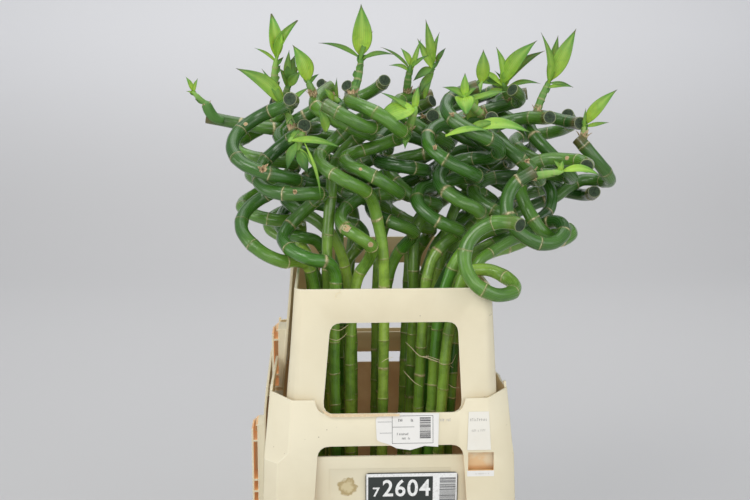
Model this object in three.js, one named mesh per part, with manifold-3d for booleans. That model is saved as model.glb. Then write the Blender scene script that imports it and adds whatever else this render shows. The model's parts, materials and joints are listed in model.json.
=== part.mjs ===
// A bunch of curled lucky bamboo standing in a flower-trade holder: bucket, two collars, water.
// Millimetres, +Z up, front towards -Y, origin under the middle of the bucket.
import * as THREE from "three";
import Module from "manifold-3d";
import { mergeVertices } from "three/addons/utils/BufferGeometryUtils.js";

const solids = await Module();
solids.setup();

const TAU = Math.PI * 2;
const DEG = Math.PI / 180;
const GAP = 0.3;
const V = (x, y, z) => new THREE.Vector3(x, y, z);
const mix = (a, b, t) => a + (b - a) * t;
const clamp = (v, low, high) => Math.min(high, Math.max(low, v));
const ease = (t) => clamp(t, 0, 1) ** 2 * (3 - 2 * clamp(t, 0, 1));

function solid(geometry) {
  const bare = geometry.clone();
  for (const name of Object.keys(bare.attributes)) {
    if (name !== "position") bare.deleteAttribute(name);
  }
  const merged = mergeVertices(bare, 1e-4);
  const mesh = new solids.Mesh({
    numProp: 3,
    vertProperties: new Float32Array(merged.attributes.position.array),
    triVerts: new Uint32Array(merged.index.array),
  });
  return new solids.Manifold(mesh);
}

function geometryOf(body) {
  const mesh = body.getMesh();
  const geometry = new THREE.BufferGeometry();
  geometry.setAttribute("position", new THREE.BufferAttribute(new Float32Array(mesh.vertProperties), 3));
  geometry.setIndex(new THREE.BufferAttribute(new Uint32Array(mesh.triVerts), 1));
  return geometry;
}

// Closed body through rings of equal length, each ring counter-clockwise seen from the far end.
function loft(rings) {
  const count = rings[0].length;
  const points = rings.flat();
  const index = [];
  for (let r = 0; r + 1 < rings.length; r++) {
    for (let i = 0; i < count; i++) {
      const a = r * count + i;
      const b = r * count + ((i + 1) % count);
      index.push(a, b, b + count, a, b + count, a + count);
    }
  }
  const last = (rings.length - 1) * count;
  for (let i = 1; i + 1 < count; i++) {
    index.push(0, i + 1, i, last, last + i, last + i + 1);
  }
  const geometry = new THREE.BufferGeometry();
  const array = new Float32Array(points.flatMap((p) => [p.x, p.y, p.z]));
  geometry.setAttribute("position", new THREE.BufferAttribute(array, 3));
  geometry.setIndex(index);
  return geometry;
}

// Box between two corners.
function block(low, high) {
  const size = high.map((v, i) => v - low[i]);
  const geometry = new THREE.BoxGeometry(...size);
  geometry.translate(...low.map((v, i) => v + size[i] / 2));
  return solid(geometry);
}

// Prism cut along Y from an outline of [x, z] points with rounded corners.
function frontPrism(outline, yLow, yHigh) {
  const shape = new THREE.Shape();
  outline.forEach(([x, z, radius = 0], i) => {
    const before = outline[(i + outline.length - 1) % outline.length];
    const after = outline[(i + 1) % outline.length];
    const corner = new THREE.Vector2(x, z);
    const toBefore = new THREE.Vector2(before[0] - x, before[1] - z).setLength(radius);
    const toAfter = new THREE.Vector2(after[0] - x, after[1] - z).setLength(radius);
    const start = corner.clone().add(toBefore);
    const end = corner.clone().add(toAfter);
    if (i === 0) shape.moveTo(start.x, start.y);
    else shape.lineTo(start.x, start.y);
    if (radius > 0) shape.quadraticCurveTo(corner.x, corner.y, end.x, end.y);
  });
  shape.closePath();
  const geometry = new THREE.ExtrudeGeometry(shape, {
    depth: yHigh - yLow,
    bevelEnabled: false,
    curveSegments: 4,
  });
  geometry.rotateX(Math.PI / 2);
  geometry.translate(0, yHigh, 0);
  return solid(geometry);
}

const BUCKET = {
  rim: 300,
  half: [123, 180],
  foot: [105, 160],
  corner: 20,
  wall: 3,
  floor: 4,
};

// Half widths of the bucket's outside at height z.
function bucketHalf(z) {
  return BUCKET.half.map((half, i) => mix(BUCKET.foot[i], half, z / BUCKET.rim));
}

function roundedRing([hx, hy], radius, z) {
  const points = [];
  const corners = [[1, 1], [-1, 1], [-1, -1], [1, -1]];
  corners.forEach(([sx, sy], quarter) => {
    for (let step = 0; step <= 4; step++) {
      const angle = (quarter + step / 4) * (Math.PI / 2);
      const x = sx * (hx - radius) + radius * Math.cos(angle);
      const y = sy * (hy - radius) + radius * Math.sin(angle);
      points.push(V(x, y, z));
    }
  });
  return points;
}

function bucketSolid(inset, low, high) {
  const ring = (z, at) => {
    const [hx, hy] = bucketHalf(at);
    return roundedRing([hx - inset, hy - inset], BUCKET.corner - inset, z);
  };
  return solid(loft([ring(low, low), ring(high, high)]));
}

function bucket() {
  const { rim, wall, floor } = BUCKET;
  const outside = bucketSolid(0, 0, rim);
  const inside = bucketSolid(wall, floor, rim + 1);
  const panel = frontPrism([[-62, 120], [62, 120], [62, 287], [-62, 287]], -190, -176);
  const sunk = bucketSolid(0.6, 0, rim);
  const relief = panel.subtract(sunk);
  return outside.subtract(relief).subtract(inside);
}

// A collar is two equal halves. A half is a front wall with windows, a return on its left that
// goes inside the other half, and a return on its right that goes outside it and carries a column.
const LOWER = {
  levels: [
    { z: 178, left: 132, right: 132, deep: 189.2, nip: 14, cut: 14, inner: 131.6, outer: 138.5 },
    { z: 296.2, left: 127.5, right: 127.5, deep: 186, nip: 14, cut: 14, inner: 127, outer: 134 },
    { z: 306.2, left: 127, right: 127, deep: 185.5, nip: 24, cut: 24, inner: 126.4, outer: 133.4 },
    { z: 368, left: 121, right: 121, deep: 178, nip: 22, cut: 22, inner: 119, outer: 127 },
  ],
  innerEnd: -38,
  outerEnd: 38,
  window: [[-79.5, 225, 12], [79.5, 225, 12], [73, 312.6, 12], [-73, 312.6, 12]],
  column: { x: 148, low: 178, high: 288, shelves: [195, 208.6, 222.2, 268.5] },
};
const UPPER = {
  levels: [
    { z: 330, left: 107, right: 111.5, deep: 173.5, nip: 9, cut: 9, inner: 106.5, outer: 113.5 },
    { z: 402, left: 100.5, right: 108, deep: 166.5, nip: 8, cut: 8, inner: 100, outer: 107.5 },
    { z: 468.6, left: 95.5, right: 104.5, deep: 160, nip: 6, cut: 7, inner: 94, outer: 101 },
  ],
  innerEnd: -30,
  outerEnd: 36,
  window: [[-68, 342, 13], [73.6, 342, 13], [69, 434.6, 11], [-59.5, 434.6, 11]],
  column: { x: 123.5, low: 330, high: 397.5, shelves: [345, 385] },
};
const SKIN = 2.5;

function levelAt(collar, z) {
  const { levels } = collar;
  let i = 0;
  while (i + 2 < levels.length && z > levels[i + 1].z) i++;
  const t = (z - levels[i].z) / (levels[i + 1].z - levels[i].z);
  const out = { z };
  for (const key of ["left", "right", "deep", "nip", "cut", "inner", "outer"]) {
    out[key] = mix(levels[i][key], levels[i + 1][key], t);
  }
  return out;
}

// Open plan path of a half at one level, from the left return's end round to the right one's.
function halfPath(collar, level, inset) {
  const { left, right, deep, nip, cut, inner, outer } = level;
  const bend = inset * Math.tan(Math.PI / 8);
  return [
    [-inner + inset, collar.innerEnd],
    [-left + inset, -deep + nip + bend],
    [-left + nip + bend, -deep + inset],
    [right - cut - bend, -deep + inset],
    [right - inset, -deep + cut + bend],
    [mix(right, outer, 0.35) - inset, -deep + 0.42 * deep],
    [outer - inset, collar.innerEnd - 16],
    [outer - inset, collar.outerEnd],
  ].map(([x, y]) => V(x, y, level.z));
}

function halfWall(collar) {
  const rings = collar.levels.map((level) => {
    const outside = halfPath(collar, level, 0);
    const inside = halfPath(collar, level, SKIN);
    return [...outside, ...inside.reverse()];
  });
  return solid(wallLoft(rings));
}

// Closed body from rings that are thin open strips, capped as strips.
function wallLoft(rings) {
  const count = rings[0].length;
  const index = [];
  for (let r = 0; r + 1 < rings.length; r++) {
    for (let i = 0; i < count; i++) {
      const a = r * count + i;
      const b = r * count + ((i + 1) % count);
      index.push(a, b, b + count, a, b + count, a + count);
    }
  }
  const last = (rings.length - 1) * count;
  for (let i = 0; i + 1 < count / 2; i++) {
    const j = count - 1 - i;
    index.push(i, j, i + 1, i + 1, j, j - 1);
    index.push(last + i, last + i + 1, last + j, last + i + 1, last + j - 1, last + j);
  }
  const geometry = new THREE.BufferGeometry();
  const array = new Float32Array(rings.flat().flatMap((p) => [p.x, p.y, p.z]));
  geometry.setAttribute("position", new THREE.BufferAttribute(array, 3));
  geometry.setIndex(index);
  return geometry;
}

// Ribbed column on the outer return, open towards the front in pockets.
function column(collar) {
  const { x, low, high, shelves } = collar.column;
  const yFront = collar.outerEnd - 2;
  const yBack = yFront - 34;
  const foot = levelAt(collar, low).outer - 1.2;
  const head = levelAt(collar, high).outer - 1.2;
  const out = Math.max(0, x - 7);
  const ring = (z, inner, outer) => [V(inner, yBack, z), V(outer, yBack, z), V(outer, yFront, z), V(inner, yFront, z)];
  let body = solid(loft([ring(low, foot, x), ring(high - 6, head, x), ring(high, head, out)]));
  const stops = [low, ...shelves, high - 1];
  for (let i = 0; i + 1 < stops.length; i++) {
    const bottom = stops[i] + (i === 0 ? 2 : 1);
    const top = stops[i + 1] - 1;
    body = body.subtract(block([foot + 4.2, yBack + 2, bottom], [x - 2, yFront + 5, top]));
  }
  return body;
}

function half(collar, cuts) {
  let body = halfWall(collar).add(column(collar));
  for (const cut of [frontPrism(collar.window, -210, -120), ...cuts]) body = body.subtract(cut);
  return body;
}

function lowerHalf() {
  const top = 364.5;
  const step = frontPrism(
    [[-200, top], [-117.5, 362.5], [-97, 359], [-76, 359], [-72, 345, 9], [72, 345, 9], [76, 359],
      [97, 359], [117.5, 362.5], [200, top], [200, 380], [-200, 380]],
    -210, -150,
  );
  const slot = block([78.5, -210, 285.5], [104.5, -150, 304.5]);
  const slope = frontPrism([[-146, 363], [40, 332], [40, 380], [-146, 380]], -140, -100).rotate([0, 0, 90]);
  const ledge = block([112, 4, 319.5], [levelAt(LOWER, 322).outer - 1, 32, 325.6]);
  return half(LOWER, [step, slot, slope]).add(ledge);
}

function upperHalf() {
  return half(UPPER, []);
}

const turned = (body) => body.rotate([0, 0, 180]);

// Thin plate lying on a leaning front face: outline in [x, z], face at y where z is level.
function frontPlate(outline, thick, level, face, slope) {
  const flat = frontPrism(outline.map(([x, z, r]) => [x, z - level, r]), -thick, 0);
  const angle = Math.atan(slope) / DEG;
  return flat.rotate([angle, 0, 0]).translate([0, face - GAP - 0.05, level]);
}

const PLATE = [[-25, 236, 4], [69, 236, 4], [69, 282, 4], [-25, 282, 4]];
const TORN_LABEL = [
  [-14, 318, 3], [-2, 314], [6, 310], [20, 308], [34, 312], [48, 311], [49, 345], [8, 346], [-15, 342, 4],
];
const FADED_LABEL = [[77.5, 307], [101.5, 307], [99.5, 346], [79, 346]];

function plate() {
  const slope = (BUCKET.half[1] - BUCKET.foot[1]) / BUCKET.rim;
  return frontPlate(PLATE, 1, 259, -bucketHalf(259)[1], slope);
}

function label(outline) {
  const slope = (185.5 - 178) / (306.2 - 368);
  return frontPlate(outline, 0.6, 330, -levelAt(LOWER, 330).deep, slope);
}

const culmOf = (axis, lean, radius, rise, start, turns, knee, extra = {}) => (
  { axis, lean, radius, rise, start, turns, knee, girth: 1, tail: 0, ...extra }
);

// Each culm: lower end of its curl's axis, lean of that axis per 100 mm of height, curl radius,
// rise per turn, angle it starts at (0 right, 90 back), turns, and where it leaves the collar.
// Its loops lie square to the axis, or to the tilt given. Going up it turns right, front, left, back.
const CULMS = [
  culmOf([-117, -52, 474], [-7, -22], 33, 86, 20, 2.12, [-72, -66]),
  culmOf([-68, -70, 468], [-31, -12], 31, 73, 20, 2.06, [-56, -98]),
  culmOf([-22, -74, 493], [10, -8], 30, 62, 12, 2.55, [-38, -72]),
  culmOf([-38, -85, 556], [-2, -6], 31, 66, 22, 1.45, [0, -82]),
  culmOf([-40, -62, 578], [-4, -4], 30, 72, 180, 1.2, [-62, -72]),
  culmOf([54, -66, 502], [19, -14], 31, 62, 70, 2.25, [42, -80]),
  culmOf([84, -84, 528], [8, -12], 31, 75, 10, 1.8, [56, -96]),
  culmOf([118, -52, 508], [21, -6], 31, 60, 60, 2.2, [52, -50]),
  culmOf([151, -84, 496], [2, -86], 30, 62, 110, 1.06, [74, -112]),
  culmOf([172, -46, 490], [8, -56], 29, 76, 110, 1.4, [73, -88]),
  culmOf([102, -124, 452], [0, -95], 28, 62, 100, 1.2, [66, -122]),
  culmOf([230, 0, 545], [4, 0], 32, 68, 150, 0.78, [74, 4], { tilt: [70, -6] }),
  culmOf([181, -18, 551], [12, -6], 31, 62, 150, 1.42, [76, -30], { tilt: [60, -16] }),
  culmOf([217, 6, 519], [0, 0], 31, 66, 240, 0.7, [76, -62], { tilt: [76, 0] }),
  culmOf([-120, 10, 484], [-10, 5], 32, 66, 90, 2.42, [-76, -14]),
  culmOf([-110, 56, 493], [-10, 6], 32, 64, 211, 1.85, [-64, 30], { tail: 74 }),
  culmOf([-66, 44, 500], [-16, 16], 32, 72, 30, 2.2, [-48, 26], { girth: 0.8 }),
  culmOf([-16, 24, 508], [-6, 8], 31, 76, 40, 2.1, [-4, 10]),
  culmOf([30, 30, 512], [4, 10], 31, 64, 60, 2.1, [32, 20]),
  culmOf([80, 24, 506], [16, 10], 31, 70, 80, 2.3, [46, 30]),
  culmOf([128, 40, 512], [26, 16], 31, 70, 100, 2.1, [56, 64]),
  culmOf([-44, 96, 506], [-12, 26], 31, 70, 0, 2.1, [-36, 74]),
  culmOf([52, 92, 508], [12, 26], 31, 70, 120, 2.1, [42, 80]),
  culmOf([30, -24, 520], [14, 0], 31, 68, 90, 2.0, [36, -30]),
  culmOf([176, 44, 530], [18, 10], 31, 68, 130, 1.5, [62, 36]),
  culmOf([112, 4, 560], [14, 4], 31, 68, 120, 1.5, [60, -8]),
  culmOf([14, -40, 500], [6, -6], 30, 64, 30, 2.1, [2, -16]),
  culmOf([-74, -14, 520], [-8, 0], 31, 68, 300, 1.9, [-34, -30]),
  culmOf([36, 62, 482], [10, 4], 31, 58, 60, 1.3, [42, 50]),
  culmOf([-22, 64, 482], [-6, 6], 31, 58, 20, 1.4, [-46, 50]),
  culmOf([-78, 34, 486], [-20, 0], 31, 64, 340, 2.1, [-62, 8]),
  culmOf([102, 30, 512], [18, 6], 31, 66, 80, 1.5, [72, 20]),
];

const STEP = 6;
const BUCKET_FLOOR = BUCKET.floor + 0.6;
const KNEE = 474.6;
const COLLAR_TOP = 468.6;

// The same line with evenly spaced points, about STEP apart unless a count is given.
function respace(points, count = 0) {
  const reach = [0];
  for (let i = 1; i < points.length; i++) {
    reach.push(reach[i - 1] + points[i].distanceTo(points[i - 1]));
  }
  const length = reach[reach.length - 1];
  const total = count || Math.round(length / STEP) + 1;
  const out = [];
  let i = 1;
  for (let k = 0; k < total; k++) {
    const at = (length * k) / (total - 1);
    while (i < points.length - 1 && reach[i] < at) i++;
    const t = (at - reach[i - 1]) / (reach[i] - reach[i - 1]);
    out.push(points[i - 1].clone().lerp(points[i], clamp(t, 0, 1)));
  }
  return out;
}

// First centreline: foot, knee in the collar, then the curl.
function route(row) {
  const up = V(row.lean[0] / 100, row.lean[1] / 100, 1);
  const plane = row.tilt ? V(row.tilt[0] / 100, row.tilt[1] / 100, 1) : up.clone();
  plane.normalize();
  const side = V(1, 0, 0).addScaledVector(plane, -plane.x).normalize();
  const back = new THREE.Vector3().crossVectors(plane, side);
  const foot = V(0.8 * row.knee[0] - 6, 0.72 * row.knee[1], BUCKET_FLOOR);
  const knee = V(row.knee[0], row.knee[1], KNEE);
  const coil = [];
  const steps = Math.ceil(row.turns * 40);
  for (let i = 0; i <= steps; i++) {
    const turn = (row.turns * i) / steps;
    const angle = row.start * DEG - TAU * turn;
    const open = mix(0.8, 1, ease(turn * 3));
    coil.push(V(...row.axis)
      .addScaledVector(up, row.rise * turn)
      .addScaledVector(side, row.radius * open * Math.cos(angle))
      .addScaledVector(back, row.radius * open * Math.sin(angle)));
  }
  const end = coil[coil.length - 1];
  const heading = end.clone().sub(coil[coil.length - 2]).normalize();
  if (row.tail > 0) coil.push(end.clone().addScaledVector(heading, row.tail));
  const stem = respace([foot, knee, coil[0]]);
  const points = [...stem, ...respace(coil).slice(1)];
  const first = stem.length - 1;
  for (let pass = 0; pass < 60; pass++) {
    const next = points.map((p) => p.clone());
    for (let i = 1; i + 1 < points.length; i++) {
      const past = Math.max(0, i - first) * STEP;
      const weight = 0.5 * clamp(1 - past / 40, 0, 1);
      const middle = points[i - 1].clone().add(points[i + 1]).multiplyScalar(0.5);
      if (i > 1) next[i].lerp(middle, weight);
    }
    points.splice(0, points.length, ...next);
  }
  return { ...row, points: respace(points, points.length), bend: first * STEP };
}

// Half thickness of a culm at a distance along it: slimmer in the straight than in the curl.
function halfThick(culm, along) {
  return culm.girth * mix(5.9, 7.3, ease((along - culm.bend + 60) / 110));
}

// Keeps a centreline point off the holder's walls, and lifts it over the collar's top edge.
function keepOff(p, thick) {
  const room = thick + 1.8;
  if (p.z < BUCKET.rim + 6) {
    const [hx, hy] = bucketHalf(p.z);
    p.x = clamp(p.x, -hx + BUCKET.wall + room, hx - BUCKET.wall - room);
    p.y = clamp(p.y, -hy + BUCKET.wall + room, hy - BUCKET.wall - room);
    return;
  }
  if (p.z > COLLAR_TOP + room) return;
  const level = levelAt(UPPER, Math.min(p.z, COLLAR_TOP));
  const walls = [
    { axis: "x", inside: level.inner - SKIN, outside: Math.max(level.right, level.outer), span: level.deep },
    { axis: "y", inside: level.deep - SKIN, outside: level.deep, span: level.right },
  ];
  for (const { axis, inside, outside, span } of walls) {
    const across = Math.abs(p[axis]);
    const beside = Math.abs(axis === "x" ? p.y : p.x);
    if (beside > span + room) continue;
    const off = Math.max(inside - across, across - outside, 0);
    if (off > room) continue;
    if (p.z > COLLAR_TOP - 8) {
      p.z = Math.max(p.z, COLLAR_TOP + 2.4 + Math.sqrt(room * room - off * off));
    } else {
      const outward = axis === "y" && across > outside;
      p[axis] = Math.sign(p[axis]) * (outward ? outside + room : inside - room);
    }
  }
}

// Takes sudden changes of curvature and bends tighter than a curl out of a line.
function fair(points, strength) {
  const tightest = STEP * STEP / 25;
  const bends = points.map((p, i) => {
    if (i === 0 || i === points.length - 1) return V(0, 0, 0);
    return points[i - 1].clone().add(points[i + 1]).addScaledVector(p, -2);
  });
  for (let i = 2; i + 2 < points.length; i++) {
    const usual = bends[i - 1].clone().add(bends[i + 1]).multiplyScalar(0.5);
    points[i].addScaledVector(bends[i].clone().sub(usual), strength);
    const excess = bends[i].length() - tightest;
    if (excess > 0) points[i].addScaledVector(bends[i], 0.3 * excess / bends[i].length());
  }
}

// Moves the centrelines apart until no two culms touch, keeping each one smooth.
function settle(culms) {
  const cell = 18;
  const key = (x, y, z) => x * 73856093 ^ y * 19349663 ^ z * 83492791;
  const place = (v) => Math.floor(v / cell);
  for (let round = 0; round < 150; round++) {
    const grid = new Map();
    culms.forEach((culm, c) => culm.points.forEach((p, i) => {
      const k = key(place(p.x), place(p.y), place(p.z));
      if (!grid.has(k)) grid.set(k, []);
      grid.get(k).push([c, i]);
    }));
    let worst = 0;
    const pushes = culms.map((culm, c) => culm.points.map((p, i) => {
      const push = V(0, 0, 0);
      const mine = halfThick(culm, i * STEP);
      for (let dx = -1; dx <= 1; dx++) {
        for (let dy = -1; dy <= 1; dy++) {
          for (let dz = -1; dz <= 1; dz++) {
            const near = grid.get(key(place(p.x) + dx, place(p.y) + dy, place(p.z) + dz)) ?? [];
            for (const [d, j] of near) {
              if (d === c && Math.abs(i - j) < 9) continue;
              const other = culms[d].points[j];
              const wanted = mine + halfThick(culms[d], j * STEP) + 2.5;
              const apart = p.distanceTo(other);
              if (apart >= wanted) continue;
              worst = Math.max(worst, wanted - apart);
              const away = p.clone().sub(other).normalize();
              const force = 0.5 * (wanted - apart);
              if (push.length() < force) push.copy(away.multiplyScalar(force));
              else push.addScaledVector(away, force * 0.3);
            }
          }
        }
      }
      return push;
    }));
    if (worst < 0.25) break;
    culms.forEach((culm, c) => {
      let push = pushes[c];
      for (let pass = 0; pass < 14; pass++) {
        push = push.map((v, i) => {
          const a = push[Math.max(0, i - 1)];
          const b = push[Math.min(push.length - 1, i + 1)];
          return v.clone().multiplyScalar(0.5).addScaledVector(a, 0.25).addScaledVector(b, 0.25);
        });
      }
      const points = culm.points;
      points.forEach((p, i) => {
        p.addScaledVector(push[i], 1.7);
        if (i === 0) p.z = BUCKET_FLOOR;
      });
      const straight = Math.floor(culm.bend / STEP) - 4;
      for (let i = 1; i < straight; i++) {
        const middle = points[i - 1].clone().add(points[i + 1]).multiplyScalar(0.5);
        points[i].lerp(middle, 0.35 * clamp((straight - i) / 10, 0, 1));
      }
      fair(points, 0.12);
      points.forEach((p, i) => keepOff(p, halfThick(culm, i * STEP)));
      culm.points = respace(points, points.length);
    });
  }
  return culms;
}

// Point and direction at a distance along a centreline.
function along(points, distance) {
  const at = clamp(distance / STEP, 0, points.length - 1.001);
  const i = Math.floor(at);
  const point = points[i].clone().lerp(points[i + 1], at - i);
  const a = points[Math.max(0, i - 1)];
  const b = points[Math.min(points.length - 1, i + 2)];
  const middle = clamp(Math.round(at), 2, points.length - 3);
  const bend = points[middle - 2].clone().add(points[middle + 2]).addScaledVector(points[middle], -2);
  return { point, heading: b.clone().sub(a).normalize(), bend: bend.divideScalar(4 * STEP * STEP) };
}

// Rings of a culm: one at each node, where it is a little thicker, and some between.
function stations(culm, number) {
  const length = (culm.points.length - 1) * STEP;
  const list = [];
  let at = 0;
  let order = 0;
  while (at < length - 4) {
    const inCurl = at > culm.bend - 70;
    const spread = 1 + 0.12 * Math.sin(order * 2.4 + number * 1.7);
    const joint = at < 290 ? 88 : (inCurl ? 42 : 50) * spread;
    const parts = inCurl ? 2 : 1;
    for (let part = 0; part < parts; part++) {
      list.push({ at: at + (joint * part) / parts, node: part === 0 && order > 0 });
    }
    at += joint;
    order += 1;
  }
  const kept = list.filter((s) => s.at < length - 7);
  kept.push({ at: length - 0.5, node: false });
  return kept;
}

// Rings stand a little outside a bent centreline, so that the flats between them straddle it.
const RING_STEP = 21;

function culmRings(culm, number, extra = 0, shown = null) {
  const rings = [];
  let side = V(1, 0, 0);
  for (const { at, node } of shown ?? stations(culm, number)) {
    const { point, heading, bend } = along(culm.points, at);
    if (at === 0) heading.copy(V(0, 0, 1));
    else point.addScaledVector(bend, -RING_STEP * RING_STEP / 16);
    side = side.addScaledVector(heading, -side.dot(heading)).normalize();
    const back = new THREE.Vector3().crossVectors(heading, side);
    const radius = halfThick(culm, at) * (node ? 1.1 : 1.03) + extra;
    const ring = [];
    for (let i = 0; i < 6; i++) {
      const angle = (TAU * i) / 6;
      ring.push(point.clone()
        .addScaledVector(side, radius * Math.cos(angle))
        .addScaledVector(back, radius * Math.sin(angle)));
    }
    rings.push(ring);
  }
  return rings;
}

// The foot of each culm stands in a plain straight hole in the water.
function waterBody(culms) {
  const level = 84;
  let body = bucketSolid(BUCKET.wall + GAP, BUCKET.floor + GAP, level);
  culms.forEach((culm, number) => {
    const [foot, next] = culmRings(culm, number, GAP);
    const centre = (ring) => ring.reduce((sum, p) => sum.add(p), V(0, 0, 0)).divideScalar(6);
    const run = centre(next).sub(centre(foot));
    const rings = [-0.08, 1.04].map((t) => next.map((p) => p.clone().addScaledVector(run, t - 1)));
    body = body.subtract(solid(loft(rings)));
  });
  return body;
}

// A shoot: where it sits (on the nearest culm), where its leaves start, and its leaves. A leaf has
// its angle as seen from the front (0 right, 90 up), its turn towards the front, length and width.
const shootOf = (seat, head, leaves) => ({ seat, head, leaves });
const SHOOTS = [
  shootOf([-195, 26, 641], [-210, 22, 658], [[112, 10, 17, 5.5], [73, 5, 17, 4.5], [157, 20, 11, 4]]),
  shootOf([-112, -16, 650], [-114, -20, 695], [[96, 8, 47, 14], [66, 16, 46, 9], [150, 10, 27, 4], [52, 5, 11, 4]]),
  shootOf([-98, -44, 631], [-105, -48, 644], [[140, 12, 67, 18], [119, 0, 50, 8], [49, 14, 37, 9]]),
  shootOf([-99, 8, 648], [-102, 4, 666], [[89, 5, 37, 9], [62, 5, 28, 9]]),
  shootOf([-71, -58, 654], [-80, -62, 671], [[111, 14, 42, 18], [46, 5, 15, 5]]),
  shootOf([-29, -68, 667], [-25, -72, 698], [[90, 12, 54, 21], [157, 14, 47, 6], [10, 14, 37, 6], [66, -6, 36, 5]]),
  shootOf([-49, -40, 647], [-49, -44, 650], [[92, 6, 25, 4]]),
  shootOf([23, -82, 617], [30, -86, 645], [[210, 30, 54, 24], [82, 5, 26, 8], [148, 6, 42, 7]]),
  shootOf([33, -10, 662], [31, -14, 685], [[118, 5, 23, 8], [141, 12, 41, 4], [159, 20, 25, 6], [72, 0, 40, 6]]),
  shootOf([62, 0, 660], [57, -4, 686], [[100, 8, 51, 11], [79, 0, 40, 6], [51, 10, 15, 5]]),
  shootOf([82, -84, 627], [81, -88, 657], [[272, 52, 29, 21], [92, 6, 26, 9], [154, 10, 30, 9], [14, 10, 42, 7]]),
  shootOf([114, -4, 644], [110, -8, 667], [[88, 8, 37, 15]]),
  shootOf([134, 8, 639], [136, 4, 666], [[55, 14, 60, 20], [40, 4, 59, 11], [93, 10, 31, 12], [12, 22, 40, 7], [121, 0, 27, 5]]),
  shootOf([181, -24, 641], [182, -28, 670], [[66, 10, 63, 18], [79, -4, 53, 11], [100, 14, 59, 8], [3, 12, 28, 6]]),
  shootOf([69, -100, 622], [87, -104, 627], [[359, 22, 66, 14], [17, 10, 29, 8]]),
  shootOf([204, -16, 596], [224, -20, 622], [[52, 12, 52, 14], [13, 14, 27, 5], [88, 4, 23, 4]]),
  shootOf([153, -112, 559], [180, -116, 581], [[357, 20, 40, 9], [75, 8, 13, 6]]),
  shootOf([-107, -98, 612], [-99, -102, 613], [[354, 18, 57, 8], [44, 8, 14, 6]]),
  shootOf([-93, -104, 611], [-91, -108, 605], [[292, 8, 27, 12], [307, 14, 27, 4]]),
];

// Leaf blade: arched, folded along its midrib, with a clasping foot.
function blade(foot, [angle, forward, length, width], spare) {
  const a = angle * DEG;
  const f = forward * DEG;
  const ahead = V(Math.cos(a) * Math.cos(f), -Math.sin(f), Math.sin(a) * Math.cos(f));
  const face = V(0, -0.78, 0.62).addScaledVector(ahead, -V(0, -0.78, 0.62).dot(ahead)).normalize();
  const across = new THREE.Vector3().crossVectors(face, ahead);
  const thick = 0.45 + spare;
  const foothold = Math.min(0.42, 3.2 / width);
  const rings = [[0, foothold], [0.36, 1], [0.74, 0.66]].map(([t, share]) => {
    const wide = (width / 2) * share + spare;
    const arch = length * (0.13 * Math.sin(Math.PI * 0.8 * t) - 0.1 * t * t);
    const rib = foot.clone().addScaledVector(ahead, length * t).addScaledVector(face, arch);
    const edge = 0.3 * (width / 2) * share;
    const at = (x, up) => rib.clone().addScaledVector(across, x).addScaledVector(face, up);
    return [
      at(-wide, edge + thick), at(-wide, edge - thick), at(0, -thick),
      at(wide, edge - thick), at(wide, edge + thick), at(0, thick),
    ];
  });
  const bow = length * (0.13 * Math.sin(Math.PI * 0.8) - 0.1);
  const tip = foot.clone().addScaledVector(ahead, length + spare).addScaledVector(face, bow);
  return solid(loftToTip(rings, tip));
}

// Closed body through rings that ends in a point.
function loftToTip(rings, tip) {
  const geometry = loft(rings);
  const count = rings[0].length;
  const last = (rings.length - 1) * count;
  const side = 6 * count * (rings.length - 1);
  const index = [...geometry.index.array].slice(0, side);
  for (let i = 1; i + 1 < count; i++) index.push(0, i + 1, i);
  for (let i = 0; i < count; i++) index.push(last + i, last + ((i + 1) % count), last + count);
  const array = new Float32Array([...geometry.attributes.position.array, tip.x, tip.y, tip.z]);
  geometry.setAttribute("position", new THREE.BufferAttribute(array, 3));
  geometry.setIndex(index);
  return geometry;
}

function seatOf(culms, seat) {
  const aim = V(...seat);
  let best = null;
  culms.forEach((culm, c) => culm.points.forEach((p, i) => {
    const away = p.distanceTo(aim);
    if (i < culm.points.length - 1 && (!best || away < best.away)) best = { away, point: p, culm: c };
  }));
  return best;
}

function shootSolid({ head: top, leaves }, root, spare) {
  const rise = V(...top).sub(root);
  const head = rise.clone().normalize();
  const side = new THREE.Vector3().crossVectors(head, V(0, 1, 0)).normalize();
  const back = new THREE.Vector3().crossVectors(head, side);
  const rings = [[0, 3.9], [0.55, 3.5], [1, 2.6]].map(([t, radius]) => {
    const centre = root.clone().addScaledVector(head, (rise.length() + 3) * t);
    return [0, 1, 2, 3, 4, 5].map((i) => centre.clone()
      .addScaledVector(side, (radius + spare) * Math.cos((TAU * i) / 6))
      .addScaledVector(back, (radius + spare) * Math.sin((TAU * i) / 6)));
  });
  let body = solid(loft(rings));
  leaves.forEach((leaf, i) => {
    const height = Math.max(0.4 * rise.length() - 0.3 * i, rise.length() - 2.7 * i);
    const foot = root.clone().addScaledVector(head, height).addScaledVector(back, 0.6 * i - 1);
    body = body.add(blade(foot, leaf, spare));
  });
  return body;
}

// Shoots cut clear of the culms they sit on and of each other.
function shootBodies(culms) {
  const tubes = culms.map((culm, i) => solid(loft(culmRings(culm, i, GAP))));
  const placed = [];
  return SHOOTS.map((shoot) => {
    const { point } = seatOf(culms, shoot.seat);
    let body = shootSolid(shoot, point, 0);
    for (const other of [...tubes, ...placed]) body = body.subtract(other);
    placed.push(shootSolid(shoot, point, 0.35));
    const parts = body.decompose();
    return parts.reduce((a, b) => (b.volume() > a.volume() ? b : a));
  });
}

const LOOK = {
  culm: { color: "#3c7a2c", roughness: 0.35, metalness: 0 },
  shoot: { color: "#8bc34a", roughness: 0.5, metalness: 0 },
  plastic: { color: "#ebe3c8", roughness: 0.55, metalness: 0 },
  water: { color: "#b8cfc0", roughness: 0.05, metalness: 0 },
  plate: { color: "#3c4543", roughness: 0.6, metalness: 0 },
  paper: { color: "#f3f2ee", roughness: 0.85, metalness: 0 },
};

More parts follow.
